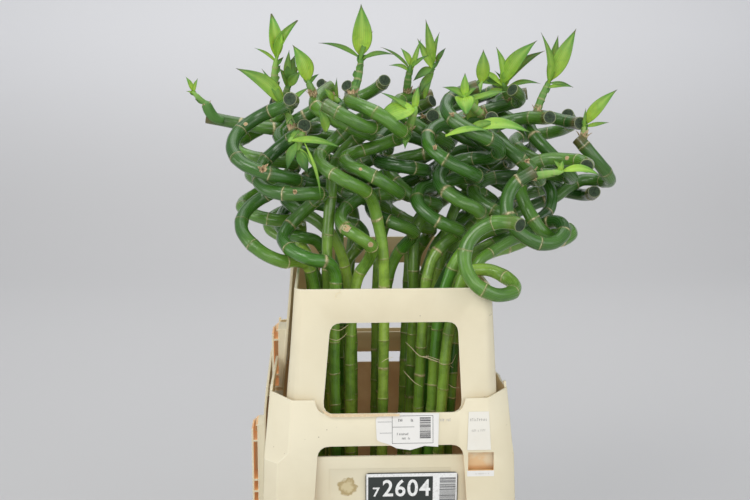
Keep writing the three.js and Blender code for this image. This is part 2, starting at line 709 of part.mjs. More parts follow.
function named(name, geometry, look) {
  const shape = geometry.index ? geometry : mergeVertices(geometry);
  shape.computeVertexNormals();
  const mesh = new THREE.Mesh(shape, new THREE.MeshStandardMaterial(look));
  mesh.name = name;
  return mesh;
}

function build() {
  const culms = settle(CULMS.map(route));
  const group = new THREE.Group();
  group.name = "lucky_bamboo";
  const add = (name, geometry, look) => group.add(named(name, geometry, look));
  culms.forEach((culm, i) => {
    const name = `culm_${String(i + 1).padStart(2, "0")}`;
    add(name, loft(culmRings(culm, i)), LOOK.culm);
  });
  add("water", geometryOf(waterBody(culms)), LOOK.water);
  add("bucket", geometryOf(bucket()), LOOK.plastic);
  const lower = lowerHalf();
  const upper = upperHalf();
  add("lower_collar_front", geometryOf(lower), LOOK.plastic);
  add("lower_collar_rear", geometryOf(turned(lower)), LOOK.plastic);
  add("upper_collar_front", geometryOf(upper), LOOK.plastic);
  add("upper_collar_rear", geometryOf(turned(upper)), LOOK.plastic);
  add("number_plate", geometryOf(plate()), LOOK.plate);
  add("torn_label", geometryOf(label(TORN_LABEL)), LOOK.paper);
  add("faded_label", geometryOf(label(FADED_LABEL)), LOOK.paper);
  shootBodies(culms).forEach((body, i) => {
    add(`shoot_${String(i + 1).padStart(2, "0")}`, geometryOf(body), LOOK.shoot);
  });
  return group;
}

export default build();
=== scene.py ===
"""A bunch of curled lucky bamboo in a flower-trade bucket with two window collars.

Metres, +Z up, front towards -Y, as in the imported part. Lengths in this file are in millimetres
until they are multiplied by MM.
"""

import functools
import json
import math
import random

import bmesh
import bpy
import numpy as np
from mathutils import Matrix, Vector

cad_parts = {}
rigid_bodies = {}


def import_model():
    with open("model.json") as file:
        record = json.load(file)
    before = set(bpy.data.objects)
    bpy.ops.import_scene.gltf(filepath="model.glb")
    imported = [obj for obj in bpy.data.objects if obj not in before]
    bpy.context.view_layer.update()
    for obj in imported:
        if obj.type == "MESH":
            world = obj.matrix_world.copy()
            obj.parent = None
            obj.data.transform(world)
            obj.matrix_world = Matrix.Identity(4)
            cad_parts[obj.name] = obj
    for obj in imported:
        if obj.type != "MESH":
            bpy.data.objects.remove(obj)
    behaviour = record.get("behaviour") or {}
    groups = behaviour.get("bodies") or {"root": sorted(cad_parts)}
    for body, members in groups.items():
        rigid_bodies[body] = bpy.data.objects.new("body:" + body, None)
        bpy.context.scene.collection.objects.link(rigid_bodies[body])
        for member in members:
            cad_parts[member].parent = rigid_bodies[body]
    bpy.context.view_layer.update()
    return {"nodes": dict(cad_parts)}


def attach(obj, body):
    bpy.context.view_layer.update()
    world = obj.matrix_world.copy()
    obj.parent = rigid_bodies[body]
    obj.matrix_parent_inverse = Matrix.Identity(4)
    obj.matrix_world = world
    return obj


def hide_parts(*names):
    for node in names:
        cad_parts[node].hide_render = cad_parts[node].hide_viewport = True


for leftover in list(bpy.data.objects):
    bpy.data.objects.remove(leftover)

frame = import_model()

MM = 0.001
NODES = frame["nodes"]
FRONT = Vector((0, -1, 0))
UP = Vector((0, 0, 1))
# First seed of each kind of thing; its number in its row is added.
CULM_SEED, BARK_SEED, SHOOT_SEED, LEAF_SEED, HUSK_SEED, SCAR_SEED = 100, 300, 500, 700, 900, 1200


# Node trees

FLOAT = "NodeSocketFloat"
VECTOR = "NodeSocketVector"
GEOMETRY = "NodeSocketGeometry"


def opaque(colour):
    return (*colour, 1) if isinstance(colour, tuple) else colour


class Nodes:
    """A node tree, with short calls for the nodes that are used more than once."""

    def __init__(self, tree):
        self.tree = tree

    def add(self, kind, values=None, **settings):
        """A node with its settings, its inputs set to numbers or linked to sockets."""
        made = self.tree.nodes.new(kind)
        for key, value in settings.items():
            setattr(made, key, value)
        for key, value in (values or {}).items():
            if isinstance(value, bpy.types.NodeSocket):
                self.tree.links.new(value, made.inputs[key])
            else:
                made.inputs[key].default_value = value
        return made

    def calc(self, operation, a, b=0.0, clamp=False):
        return self.add("ShaderNodeMath", {0: a, 1: b}, operation=operation, use_clamp=clamp).outputs[0]

    def times(self, a, b):
        return self.calc("MULTIPLY", a, b)

    def plus(self, a, b, clamp=False):
        return self.calc("ADD", a, b, clamp)

    def paint(self, amount, under, over):
        """Colour that goes from under to over as amount goes from 0 to 1."""
        values = {0: amount, 6: opaque(under), 7: opaque(over)}
        return self.add("ShaderNodeMix", values, data_type="RGBA").outputs[2]

    def layers(self, under, *rows):
        """Colours laid over one another; a row holds an amount, its share and the colour."""
        for amount, share, over in rows:
            under = self.paint(self.times(amount, share), under, over)
        return under

    def ramp(self, value, low, high):
        """0 below low, 1 above high, smooth between."""
        values = {0: value, 1: low, 2: high}
        return self.add("ShaderNodeMapRange", values, interpolation_type="SMOOTHSTEP").outputs[0]

    def noise(self, vector, scale, detail=3.0, rough=0.55):
        values = {"Vector": vector, "Scale": scale, "Detail": detail, "Roughness": rough}
        return self.add("ShaderNodeTexNoise", values).outputs[0]

    def stretched(self, vector, scale):
        return self.add("ShaderNodeMapping", {"Vector": vector, "Scale": scale}).outputs[0]

    def split(self, vector):
        return self.add("ShaderNodeSeparateXYZ", {0: vector}).outputs

    def vector(self, operation, values):
        return self.add("ShaderNodeVectorMath", values, operation=operation).outputs

    def named(self, name, kind="FLOAT"):
        """A value that the points of a line carry."""
        return self.add("GeometryNodeInputNamedAttribute", {"Name": name}, data_type=kind).outputs[0]

    def keep(self, shape, name, value):
        """The shape with a vector stored on its points."""
        values = {"Geometry": shape, "Name": name, "Value": value}
        return self.add(
            "GeometryNodeStoreNamedAttribute", values, data_type="FLOAT_VECTOR", domain="POINT"
        ).outputs["Geometry"]


def node_group(kind, name, inputs, outputs, build):
    """A shared node group; build gets its nodes and its input sockets, and gives its results."""
    group = bpy.data.node_groups.new(name, kind)
    for label, socket_type, value in inputs:
        socket = group.interface.new_socket(label, in_out="INPUT", socket_type=socket_type)
        if value is not None:
            socket.default_value = value
    for label, socket_type in outputs:
        group.interface.new_socket(label, in_out="OUTPUT", socket_type=socket_type)
    net = Nodes(group)
    results = build(net, net.add("NodeGroupInput").outputs)
    net.add("NodeGroupOutput", dict(zip([label for label, _ in outputs], results)))
    return group


def build_fibres(net, given):
    """Fine streaks that run along a stem or a blade, and slow blotches across them."""
    fine = net.noise(net.stretched(given["Grain"], (1, 1, 0.035)), given["Fineness"], 4)
    slow = net.noise(net.stretched(given["Grain"], (0.5, 0.5, 0.12)), given["Patches"], 2)
    return [net.ramp(fine, 0.3, 0.72), net.ramp(slow, 0.33, 0.68)]


def build_specks(net, given):
    """Small scattered specks of dirt, and the wide faint smudges between them."""
    values = {"Vector": given["Place"], "Scale": given["Density"]}
    dots = net.add("ShaderNodeTexVoronoi", values).outputs["Distance"]
    near = net.ramp(dots, given["Size"], 0.0)
    gate = net.ramp(net.noise(given["Place"], 23.0, 2), 0.5, 0.58)
    smudge = net.ramp(net.noise(given["Place"], 9.0, 5, 0.65), 0.42, 0.75)
    return [net.times(near, gate), smudge]


FIBRES = node_group(
    "ShaderNodeTree", "stem_fibres",
    [("Grain", VECTOR, None), ("Fineness", FLOAT, 900.0), ("Patches", FLOAT, 60.0)],
    [("Streaks", FLOAT), ("Blotches", FLOAT)], build_fibres,
)
SPECKS = node_group(
    "ShaderNodeTree", "handling_specks",
    [("Place", VECTOR, None), ("Density", FLOAT, 60.0), ("Size", FLOAT, 0.06)],
    [("Specks", FLOAT), ("Smudges", FLOAT)], build_specks,
)


# Finishes

# The card slot in the lower front half: x and z limits, and the y its depth begins at.
SLOT = (78.0, 105.0, 285.0, 305.0, -185.4)
STAIN = Vector((-43.0, -178.0, 267.0))
# The stain is drawn on the front wall: its depth counts for little.
STAIN_FLAT = Vector((1, 0.2, 1))
# Painted light on the walls seen from inside: pale above these heights, painted warm shade below them.
BACK_PALE = (0.3, 0.325)
# Painted glow, as of light through the thin plastic, on inward faces and in the pockets.
INWARD_GLOW = 0.09
POCKET_GLOW = 0.42


class Finish(Nodes):
    """A material with its shader; constants are set on the shader's own sockets."""

    def __init__(self, name, roughness, **constants):
        self.material = bpy.data.materials.new(name)
        self.material.use_nodes = True
        super().__init__(self.material.node_tree)
        self.shader = self.tree.nodes["Principled BSDF"]
        for key, value in {"Roughness": roughness, **constants}.items():
            self.shader.inputs[key.replace("_", " ")].default_value = value

    @functools.cached_property
    def here(self):
        """Place in the object's own space."""
        return self.add("ShaderNodeTexCoord").outputs["Object"]

    def stored(self, name, output="Fac"):
        return self.add("ShaderNodeAttribute", attribute_name=name).outputs[output]

    def effect(self, group, **values):
        return self.add("ShaderNodeGroup", values, node_tree=group).outputs

    def bump(self, height, strength, depth):
        values = {"Strength": strength, "Distance": depth, "Height": height}
        return self.add("ShaderNodeBump", values).outputs[0]

    def feed(self, **sockets):
        for key, socket in sockets.items():
            self.tree.links.new(socket, self.shader.inputs[key.replace("_", " ")])
        return self.material


def culm_finish():
    """Glossy green bamboo skin: dark curls, yellower straights, pale scars at the joints."""
    mix = Finish("bamboo_skin", 0.3, Coat_Roughness=0.16, Specular_IOR_Level=0.5)
    grain = mix.stored("grain", "Vector")
    fibres = mix.effect(FIBRES, Grain=grain, Fineness=900.0, Patches=55.0)
    tone = mix.stored("tone")
    deep = mix.paint(tone, (0.006, 0.036, 0.005), (0.052, 0.185, 0.014))
    ripe = mix.paint(tone, (0.1, 0.33, 0.03), (0.56, 0.82, 0.12))
    clouds = mix.ramp(mix.noise(mix.here, 85.0, 4, 0.6), 0.42, 0.68)
    worn = mix.ramp(mix.noise(mix.here, 420.0, 5, 0.7), 0.6, 0.8)
    dust = mix.effect(SPECKS, Place=mix.here, Density=320.0, Size=0.12)["Specks"]
    uneven = mix.ramp(mix.noise(mix.here, 170.0, 4, 0.6), 0.3, 0.6)
    line = mix.paint(uneven, (0.17, 0.095, 0.035), (0.7, 0.6, 0.34))
    strength = mix.plus(mix.times(uneven, 0.55), 0.45)
    cut = mix.stored("cut")
    grey = mix.ramp(mix.noise(mix.here, 520.0, 4, 0.65), 0.35, 0.65)
    pith = mix.paint(grey, (0.006, 0.018, 0.005), (0.035, 0.07, 0.025))
    body = mix.layers(
        mix.paint(mix.stored("fresh"), deep, ripe),
        (clouds, 0.35, (0.012, 0.055, 0.012)),
        (fibres["Blotches"], 0.3, (0.1, 0.28, 0.03)),
        (fibres["Streaks"], 0.25, (0.02, 0.085, 0.015)),
        (worn, 0.35, (0.24, 0.33, 0.15)),
        (dust, 0.5, (0.34, 0.3, 0.16)),
        (mix.stored("blush"), 0.8, (0.15, 0.1, 0.04)),
        (mix.stored("scar"), strength, line),
        (mix.ramp(cut, 0.02, 0.15), 0.75, (0.27, 0.27, 0.15)),
        (mix.ramp(cut, 0.25, 0.45), 1.0, pith),
    )
    rough = mix.plus(mix.times(fibres["Streaks"], 0.12), 0.22)
    rough = mix.plus(rough, mix.times(worn, 0.25))
    rough = mix.plus(rough, mix.times(cut, 0.5), True)
    gloss = mix.times(mix.calc("SUBTRACT", 1.0, cut, True), 0.3)
    grooves = mix.bump(fibres["Streaks"], 0.14, 0.0006)
    return mix.feed(Base_Color=body, Roughness=rough, Coat_Weight=gloss, Normal=grooves)


def leaf_finish():
    """Soft yellow-green blade, paler along the middle, darker to the tip and edges."""
    mix = Finish(
        "leaf_blade", 0.42, Subsurface_Weight=0.12, Subsurface_Scale=0.004, Specular_IOR_Level=0.4
    )
    across, along, shade = mix.split(mix.stored("blade", "Vector"))
    side = mix.calc("ABSOLUTE", across)
    base = mix.paint(shade, (0.45, 0.72, 0.07), (0.07, 0.23, 0.028))
    point = mix.paint(shade, (0.065, 0.27, 0.028), (0.012, 0.07, 0.011))
    pale = mix.times(mix.calc("SUBTRACT", 1.0, shade), 0.42)
    veins = mix.calc("SINE", mix.times(across, 30.0))
    soft = mix.noise(mix.here, 160.0, 4)
    colour = mix.layers(
        mix.paint(mix.ramp(along, 0.08, 1.0), base, point),
        (pale, mix.ramp(side, 0.6, 0.0), (0.52, 0.76, 0.15)),
        (mix.ramp(side, 0.84, 1.0), 0.6, point),
        (mix.ramp(veins, 0.1, 1.0), 0.22, point),
        (mix.ramp(soft, 0.48, 0.72), 0.3, point),
        (mix.ramp(along, 0.86, 0.99), 0.85, (0.055, 0.055, 0.02)),
    )
    return mix.feed(Base_Color=colour, Normal=mix.bump(veins, 0.25, 0.0003))


def stalk_finish():
    mix = Finish("leaf_stalk", 0.45, Subsurface_Weight=0.05, Subsurface_Scale=0.003)
    grain = mix.stored("grain", "Vector")
    fibres = mix.effect(FIBRES, Grain=grain, Fineness=1100.0, Patches=90.0)
    body = mix.layers(
        mix.paint(mix.stored("fresh"), (0.07, 0.2, 0.03), (0.33, 0.58, 0.11)),
        (fibres["Streaks"], 0.35, (0.1, 0.26, 0.04)),
        (mix.stored("scar"), 1.0, (0.42, 0.36, 0.18)),
        (mix.stored("blush"), 1.0, (0.16, 0.11, 0.05)),
    )
    return mix.feed(Base_Color=body, Normal=mix.bump(fibres["Streaks"], 0.2, 0.0005))


def plastic_finish():
    """Cream polypropylene with stains, specks and dull scratches; painted inner shade, glow and edge
    highlights.
    """
    mix = Finish("cream_plastic", 0.5, Specular_IOR_Level=0.35, Emission_Strength=0.3)
    level = mix.split(mix.here)[2]
    specks = mix.effect(SPECKS, Place=mix.here, Density=95.0, Size=0.09)
    inward = mix.stored("inward")
    pocket = mix.stored("pocket")
    uneven = mix.ramp(mix.noise(mix.here, 6.0, 4), 0.3, 0.7)
    cream = mix.paint(uneven, (0.72, 0.645, 0.455), (0.79, 0.73, 0.55))
    uneven = mix.ramp(mix.noise(mix.here, 30.0, 3), 0.3, 0.7)
    # Warm orange of the painted shade and glow on the inner walls and in the pockets.
    warm = mix.paint(uneven, (0.66, 0.29, 0.08), (0.8, 0.45, 0.16))
    back = mix.paint(mix.ramp(level, *BACK_PALE), warm, (0.84, 0.64, 0.36))
    # Painted shade in the card slot: orange at its foot, paler towards its top.
    depth = mix.ramp(level, (SLOT[2] - 1) * MM, (SLOT[3] - 4) * MM)
    slot = mix.paint(depth, (0.8, 0.45, 0.16), (0.95, 0.82, 0.6))
    middle = STAIN * STAIN_FLAT * MM
    stain = mix.vector("DISTANCE", {0: mix.stretched(mix.here, STAIN_FLAT), 1: middle})["Value"]
    stain = mix.plus(stain, mix.times(mix.noise(mix.here, 150.0, 4), 0.012))
    blot = mix.ramp(stain, 0.0165, 0.0135)
    ring = mix.calc("SUBTRACT", blot, mix.ramp(stain, 0.0145, 0.0105))
    cream = mix.layers(
        cream,
        (specks["Smudges"], 0.3, (0.62, 0.54, 0.38)),
        # Painted warm shade on inward faces and in the pockets.
        (inward, 0.75, back),
        (pocket, 0.8, warm),
        # Painted highlight on the rounded edges.
        (mix.stored("edge"), 1.0, (0.9, 0.86, 0.72)),
        # Painted shade on the sunk faces of the card slot.
        (mix.stored("recess"), 1.0, slot),
        (blot, 0.55, (0.55, 0.43, 0.18)),
        (ring, 0.7, (0.33, 0.22, 0.07)),
        (specks["Specks"], 0.85, (0.16, 0.1, 0.05)),
    )
    scratch = mix.noise(mix.stretched(mix.here, (1, 1, 0.06)), 700.0, 2)
    height = mix.plus(mix.times(scratch, 0.4), mix.noise(mix.here, 900.0, 2))
    rough = mix.plus(mix.times(specks["Smudges"], 0.18), 0.42)
    # Painted glow: the shader's emission lights inward faces and pockets, as if lit through the plastic.
    glow = mix.calc("MAXIMUM", mix.times(inward, INWARD_GLOW), mix.times(pocket, POCKET_GLOW))
    glow = mix.paint(glow, (0, 0, 0), (0.86, 0.58, 0.3))
    grain = mix.bump(height, 0.1, 0.0004)
    return mix.feed(Base_Color=cream, Roughness=rough, Emission_Color=glow, Normal=grain)


def water_finish():
    mix = Finish("still_water", 0.04, IOR=1.33, Transmission_Weight=1.0)
    cloudy = mix.noise(mix.here, 12.0, 3)
    return mix.feed(Base_Color=mix.paint(cloudy, (0.75, 0.84, 0.72), (0.88, 0.92, 0.84)))


def plate_finish():
    mix = Finish("plate_enamel", 0.5)
    specks = mix.effect(SPECKS, Place=mix.here, Density=220.0, Size=0.08)["Specks"]
    body = mix.paint(mix.noise(mix.here, 60.0, 4), (0.016, 0.021, 0.019), (0.03, 0.038, 0.035))
    body = mix.layers(body, (specks, 0.5, (0.3, 0.3, 0.28)))
    return mix.feed(Base_Color=body, Normal=mix.bump(mix.noise(mix.here, 600.0), 0.1, 0.0003))


def paper_finish(name, light, dull):
    mix = Finish(name, 0.8)
    specks = mix.effect(SPECKS, Place=mix.here, Density=260.0, Size=0.07)
    sheet = mix.paint(specks["Smudges"], light, dull)
    sheet = mix.layers(sheet, (specks["Specks"], 0.5, (0.3, 0.26, 0.2)))
    crease = mix.noise(mix.here, 120.0, 5, 0.7)
    return mix.feed(Base_Color=sheet, Normal=mix.bump(crease, 0.3, 0.0006))


def slot_shade_finish():
    """Painted warm shade inside the card slot, orange towards its foot."""
    mix = Finish("slot_painted_shade", 0.6)
    warm = mix.ramp(mix.noise(mix.here, 60.0, 3), 0.4, 0.62)
    body = mix.paint(warm, (0.76, 0.63, 0.43), (0.76, 0.52, 0.28))
    foot = mix.ramp(mix.split(mix.here)[2], (SLOT[2] + 5) * MM, (SLOT[2] + 0.5) * MM)
    return mix.feed(Base_Color=mix.paint(foot, body, (0.66, 0.36, 0.15)))


def mark_finish(name, colour, faded):
    """Flat marks, a little uneven: print worn in places, straw, and the painted shade strip under the
    window.
    """
    mix = Finish(name, 0.7)
    worn = mix.ramp(mix.noise(mix.here, 500.0, 3), 0.45, 0.8)
    return mix.feed(Base_Color=mix.paint(worn, colour, faded))


def husk_finish():
    """Dry papery sheath: straw with brown streaks."""
    mix = Finish("dry_husk", 0.75)
    streak = mix.noise(mix.stretched(mix.here, (1, 1, 0.12)), 800.0, 4)
    body = mix.paint(mix.ramp(streak, 0.35, 0.65), (0.66, 0.53, 0.31), (0.27, 0.16, 0.075))
    return mix.feed(Base_Color=body, Normal=mix.bump(streak, 0.5, 0.0006))


def scar_finish():
    """Healed bud: pinkish-tan middle, pale raised rim."""
    mix = Finish("bud_scar", 0.65)
    rim = mix.stored("rim")
    mottled = mix.noise(mix.here, 600.0, 4)
    body = mix.layers(
        mix.paint(mottled, (0.42, 0.24, 0.1), (0.66, 0.5, 0.28)),
        (mix.ramp(rim, 0.6, 0.85), 0.85, (0.5, 0.46, 0.28)),
        (mix.ramp(rim, 0.9, 1.0), 1.0, (0.1, 0.09, 0.035)),
    )
    return mix.feed(Base_Color=body, Normal=mix.bump(mottled, 0.4, 0.0005))


# Pieces


def linked(name, data):
    made = bpy.data.objects.new(name, data)
    bpy.context.scene.collection.objects.link(made)
    return made


def store(mesh, columns, domain="POINT"):
    """Named values on a mesh's points or faces: numbers or 3-vectors."""
    for label, values in columns.items():
        values = np.asarray(values, np.float32)
        kind, key = ("FLOAT_VECTOR", "vector") if values.ndim == 2 else ("FLOAT", "value")
        mesh.attributes.new(label, kind, domain).data.foreach_set(key, values.ravel())


def piece(name, points, faces, material, columns=None, smooth=True):
    """A mesh from points in metres, with the values its finish reads."""
    mesh = bpy.data.meshes.new(name)
    mesh.from_pydata([tuple(p) for p in points], [], faces)
    mesh.materials.append(material)
    store(mesh, columns or {})
    mesh.polygons.foreach_set("use_smooth", [smooth] * len(mesh.polygons))
    return linked(name, mesh)


def evaluated(thing):
    """A plain mesh of an object's evaluated shape."""
    graph = bpy.context.evaluated_depsgraph_get()
    graph.update()
    return bpy.data.meshes.new_from_object(thing.evaluated_get(graph), depsgraph=graph)


def settle_piece(thing, slot, *nodes):
    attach(thing, "root")
    if nodes:
        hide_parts(*nodes)
    return thing


def recalc_outward(thing):
    shell = bmesh.new()
    shell.from_mesh(thing.data)
    bmesh.ops.recalc_face_normals(shell, faces=shell.faces)
    shell.to_mesh(thing.data)
    shell.free()


def square_to(direction, ahead):
    """The part of a direction that is square to another one."""
    return (direction - ahead * direction.dot(ahead)).normalized()


# Culms

CURL_STEP = 2.6
STRAIGHT_STEP = 7.0
HIDDEN_STEP = 16.0
WINDOW_FOOT = 215.0
COLLAR_TOP = 468.6
JOINT_GAP_CURL = (35, 45)
JOINT_GAP_STRAIGHT = (28, 40)
JOINT_DETAIL = (-4.0, -2.6, -1.6, -0.9, -0.45, 0.0, 0.45, 0.9, 1.7, 3.0)
# The sawn end: forward of the last point, share of the radius, and how far into the cut face.
CUT_END = (
    (0.25, 0.99, 0.05), (0.4, 0.95, 0.2), (0.45, 0.86, 0.4), (0.48, 0.78, 0.6), (0.5, 0.5, 0.8),
    (0.52, 0.2, 0.95), (0.54, 0.02, 1.0),
)
# Strength and half width of the scar at the joints that keep a rim of dry sheath, and their share.
PAPERY_RING = (1.0, 1.25)
PAPERY_SHARE = 0.2
# How far the brownish skin reaches back from the sawn end.
BARK_REACH = 13
CULM_SIDES = 16
CAGE_SIDES = 6
# Packed rings against the culm's own radius, between joints and at them.
CAGE_SWELL = 1.03
JOINT_SWELL = 1.1
# Packed rings further apart than this stand at a joint each.
LONE_GAP = 30
END_BACK = 0.8
# Length over which a culm's fresh yellow fades above the collar.
FRESH_FADE = 90
# How far the ring at a joint wavers, in metres.
JOINT_WAVER = 0.0013


def curve_point(a, b, u, v, t):
    """Point on the smooth curve from a to b that sets out along u and arrives along v."""
    return (
        (2 * t**3 - 3 * t**2 + 1) * a + (t**3 - 2 * t**2 + t) * u
        + (3 * t**2 - 2 * t**3) * b + (t**3 - t**2) * v
    )


def packed_rings(name):
    """Centres and radii of a packed culm's six-sided rings, foot first, in millimetres."""
    cage = bmesh.new()
    cage.from_mesh(NODES[name].data)
    bmesh.ops.remove_doubles(cage, verts=cage.verts, dist=2e-5)
    layer = sorted(cage.verts, key=lambda corner: corner.co.z)[:CAGE_SIDES]
    seen = set()
    centres = []
    radii = []
    while layer:
        spots = [corner.co / MM for corner in layer]
        middle = sum(spots, Vector()) / len(spots)
        centres.append(middle)
        radii.append(sum((spot - middle).length for spot in spots) / len(spots))
        seen.update(layer)
        onward = {edge.other_vert(corner) for corner in layer for edge in corner.link_edges}
        layer = [corner for corner in onward if corner not in seen]
    cage.free()
    return np.array([tuple(c) for c in centres]), np.array(radii)


class Culm:
    """A culm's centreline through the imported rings, with its joints and thickness."""

    def __init__(self, name):
        self.name = name
        self.centres, rings = packed_rings(name)
        gaps = np.linalg.norm(np.diff(self.centres, axis=0), axis=1)
        self.reach = np.concatenate([[0], np.cumsum(gaps)])
        self.length = self.reach[-1]
        self.base = rings / CAGE_SWELL
        for i in range(1, len(rings) - 1):
            lone = min(gaps[i - 1], gaps[i]) > LONE_GAP
            if lone or rings[i] > 1.025 * (rings[i - 1] + rings[i + 1]) / 2:
                self.base[i] = rings[i] / JOINT_SWELL
        before = [0, *range(len(gaps))]
        after = [*range(1, len(gaps) + 1), len(gaps)]
        run = self.reach[after] - self.reach[before]
        self.ahead = (self.centres[after] - self.centres[before]) / run[:, None]
        self.knee = self.reach[int(np.argmax(self.centres[:, 2] > COLLAR_TOP))]
        self.joints = self.joint_places(random.Random(int(name[-2:])))

    def joint_places(self, draw):
        """Joints are close in the straight, a little wider apart in the curl."""
        joints = []
        spot = draw.uniform(20, 50)
        while spot < self.length - 9:
            joints.append(spot)
            curled = self.at(spot)[2] > COLLAR_TOP
            spot += draw.uniform(*(JOINT_GAP_CURL if curled else JOINT_GAP_STRAIGHT))
        return joints

    def at(self, distance):
        """Point on the smooth centreline at a distance from the foot."""
        i = int(np.clip(np.searchsorted(self.reach, distance) - 1, 0, len(self.reach) - 2))
        span = self.reach[i + 1] - self.reach[i]
        a, b = self.centres[i], self.centres[i + 1]
        u, v = self.ahead[i] * span, self.ahead[i + 1] * span
        return curve_point(a, b, u, v, (distance - self.reach[i]) / span)

    def heading(self, distance):
        step = min(0.8, distance, self.length - distance) or 0.4
        ends = np.clip([distance - step, distance + step], 0, self.length)
        run = self.at(ends[1]) - self.at(ends[0])
        return run / np.linalg.norm(run)

    def thickness(self, distance):
        """Radius at a distance: waisted between joints, with a lip and a groove at each."""
        radius = np.interp(distance, self.reach, self.base)
        before = max([j for j in self.joints if j <= distance], default=0.0)
        after = min([j for j in self.joints if j > distance], default=self.length)
        share = (distance - before) / max(after - before, 1.0)
        radius *= 1 - 0.035 * math.sin(math.pi * share)
        off = self.off_joint(distance)
        radius *= 1 + 0.05 * math.exp(-((off + 2.4) / 2.2) ** 2)
        radius *= 1 + 0.035 * math.exp(-((off - 3.0) / 2.0) ** 2)
        return radius + 0.42 * math.exp(-((off / 0.5) ** 2))

    def joint_at(self, distance):
        """Number of the nearest joint."""
        return min(range(len(self.joints)), key=lambda i: abs(distance - self.joints[i]))

    def off_joint(self, distance):
        """Signed distance from the nearest joint, positive above it."""
        return distance - self.joints[self.joint_at(distance)]

    def stops(self):
        spots = [0.0]
        while spots[-1] < self.length - 3:
            z = self.at(spots[-1])[2]
            if z < WINDOW_FOOT:
                step = HIDDEN_STEP
            elif z < COLLAR_TOP - 20:
                step = STRAIGHT_STEP
            else:
                step = CURL_STEP
            spots.append(spots[-1] + step)
        for joint in self.joints:
            if self.at(joint)[2] > WINDOW_FOOT:
                spots = [s for s in spots if abs(s - joint) > 4.6]
                spots += [joint + d for d in JOINT_DETAIL]
        return sorted(s for s in spots if s < self.length - 1.2)


def build_tube(net, given):
    """Skins a line of points with a tube as thick as each point's girth."""
    here = net.add("GeometryNodeInputPosition").outputs[0]
    line = net.add("GeometryNodeMeshToCurve", {"Mesh": given["Line"]}).outputs["Curve"]
    values = {"Resolution": given["Sides"], "Radius": 1.0}
    circle = net.add("GeometryNodeCurvePrimitiveCircle", values).outputs["Curve"]
    ring = net.keep(circle, "around", here)
    values = {"Curve": line, "Profile Curve": ring, "Scale": net.named("girth"), "Fill Caps": True}
    tube = net.add("GeometryNodeCurveToMesh", values).outputs["Mesh"]
    thick = net.vector("SCALE", {0: net.named("around", "FLOAT_VECTOR"), 3: 0.007})[0]
    up = net.add("ShaderNodeCombineXYZ", {2: net.named("lengthwise")}).outputs[0]
    tube = net.keep(tube, "grain", net.vector("ADD", {0: thick, 1: up})[0])
    values = {"Vector": here, "W": given["Seed"], "Scale": 75.0, "Detail": 1.0}
    ripple = net.add("ShaderNodeTexNoise", values, noise_dimensions="4D").outputs[0]
    ripple = net.times(net.calc("SUBTRACT", ripple, 0.5), 4.0)
    shift = net.times(net.times(ripple, net.named("near")), given["Joint wobble"])
    push = net.vector("SCALE", {0: net.named("onward", "FLOAT_VECTOR"), 3: shift})[0]
    for kind, values in (
        ("GeometryNodeSetPosition", {"Offset": push}),
        ("GeometryNodeSetShadeSmooth", {"Shade Smooth": True}),
        ("GeometryNodeRealizeInstances", {}),
        ("GeometryNodeSetMaterial", {"Material": given["Finish"]}),
    ):
        tube = net.add(kind, {"Geometry": tube, **values}).outputs[0]
    return [tube]


TUBE = node_group(
    "GeometryNodeTree", "stem_tube",
    [("Line", GEOMETRY, None), ("Sides", "NodeSocketInt", CULM_SIDES),
     ("Joint wobble", FLOAT, JOINT_WAVER), ("Seed", FLOAT, 1.0), ("Finish", "NodeSocketMaterial", None)],
    [("Tube", GEOMETRY)], build_tube,
)


def section(place, radius, lengthwise, onward, **looks):
    """A point of a stem's line: its place and radius, and the values that its finish reads."""
    plain = dict.fromkeys(("fresh", "scar", "blush", "near", "cut"), 0.0)
    size = {"place": place, "girth": radius * MM, "lengthwise": lengthwise * MM, "onward": onward}
    return size | plain | looks


def skin(name, lines, finish, sides, seed):
    """One mesh round lines of points; each line is a list of sections."""
    spots = [spot for line in lines for spot in line]
    edges = []
    start = 0
    for line in lines:
        edges += [(i, i + 1) for i in range(start, start + len(line) - 1)]
        start += len(line)
    core = bpy.data.meshes.new(name)
    core.from_pydata([tuple(np.asarray(spot["place"]) * MM) for spot in spots], edges, [])
    store(core, {key: [spot[key] for spot in spots] for key in spots[0] if key != "place"})
    made = linked(name, core)
    modifier = made.modifiers.new("tube", "NODES")
    modifier.node_group = TUBE
    chosen = {"Sides": sides, "Seed": seed, "Finish": finish}
    for item in TUBE.interface.items_tree:
        if item.item_type == "SOCKET" and item.in_out == "INPUT" and item.name in chosen:
            modifier[item.identifier] = chosen[item.name]
    mesh = evaluated(made)
    made.modifiers.clear()
    made.data = mesh
    mesh.name = name
    bpy.data.meshes.remove(core)
    return made


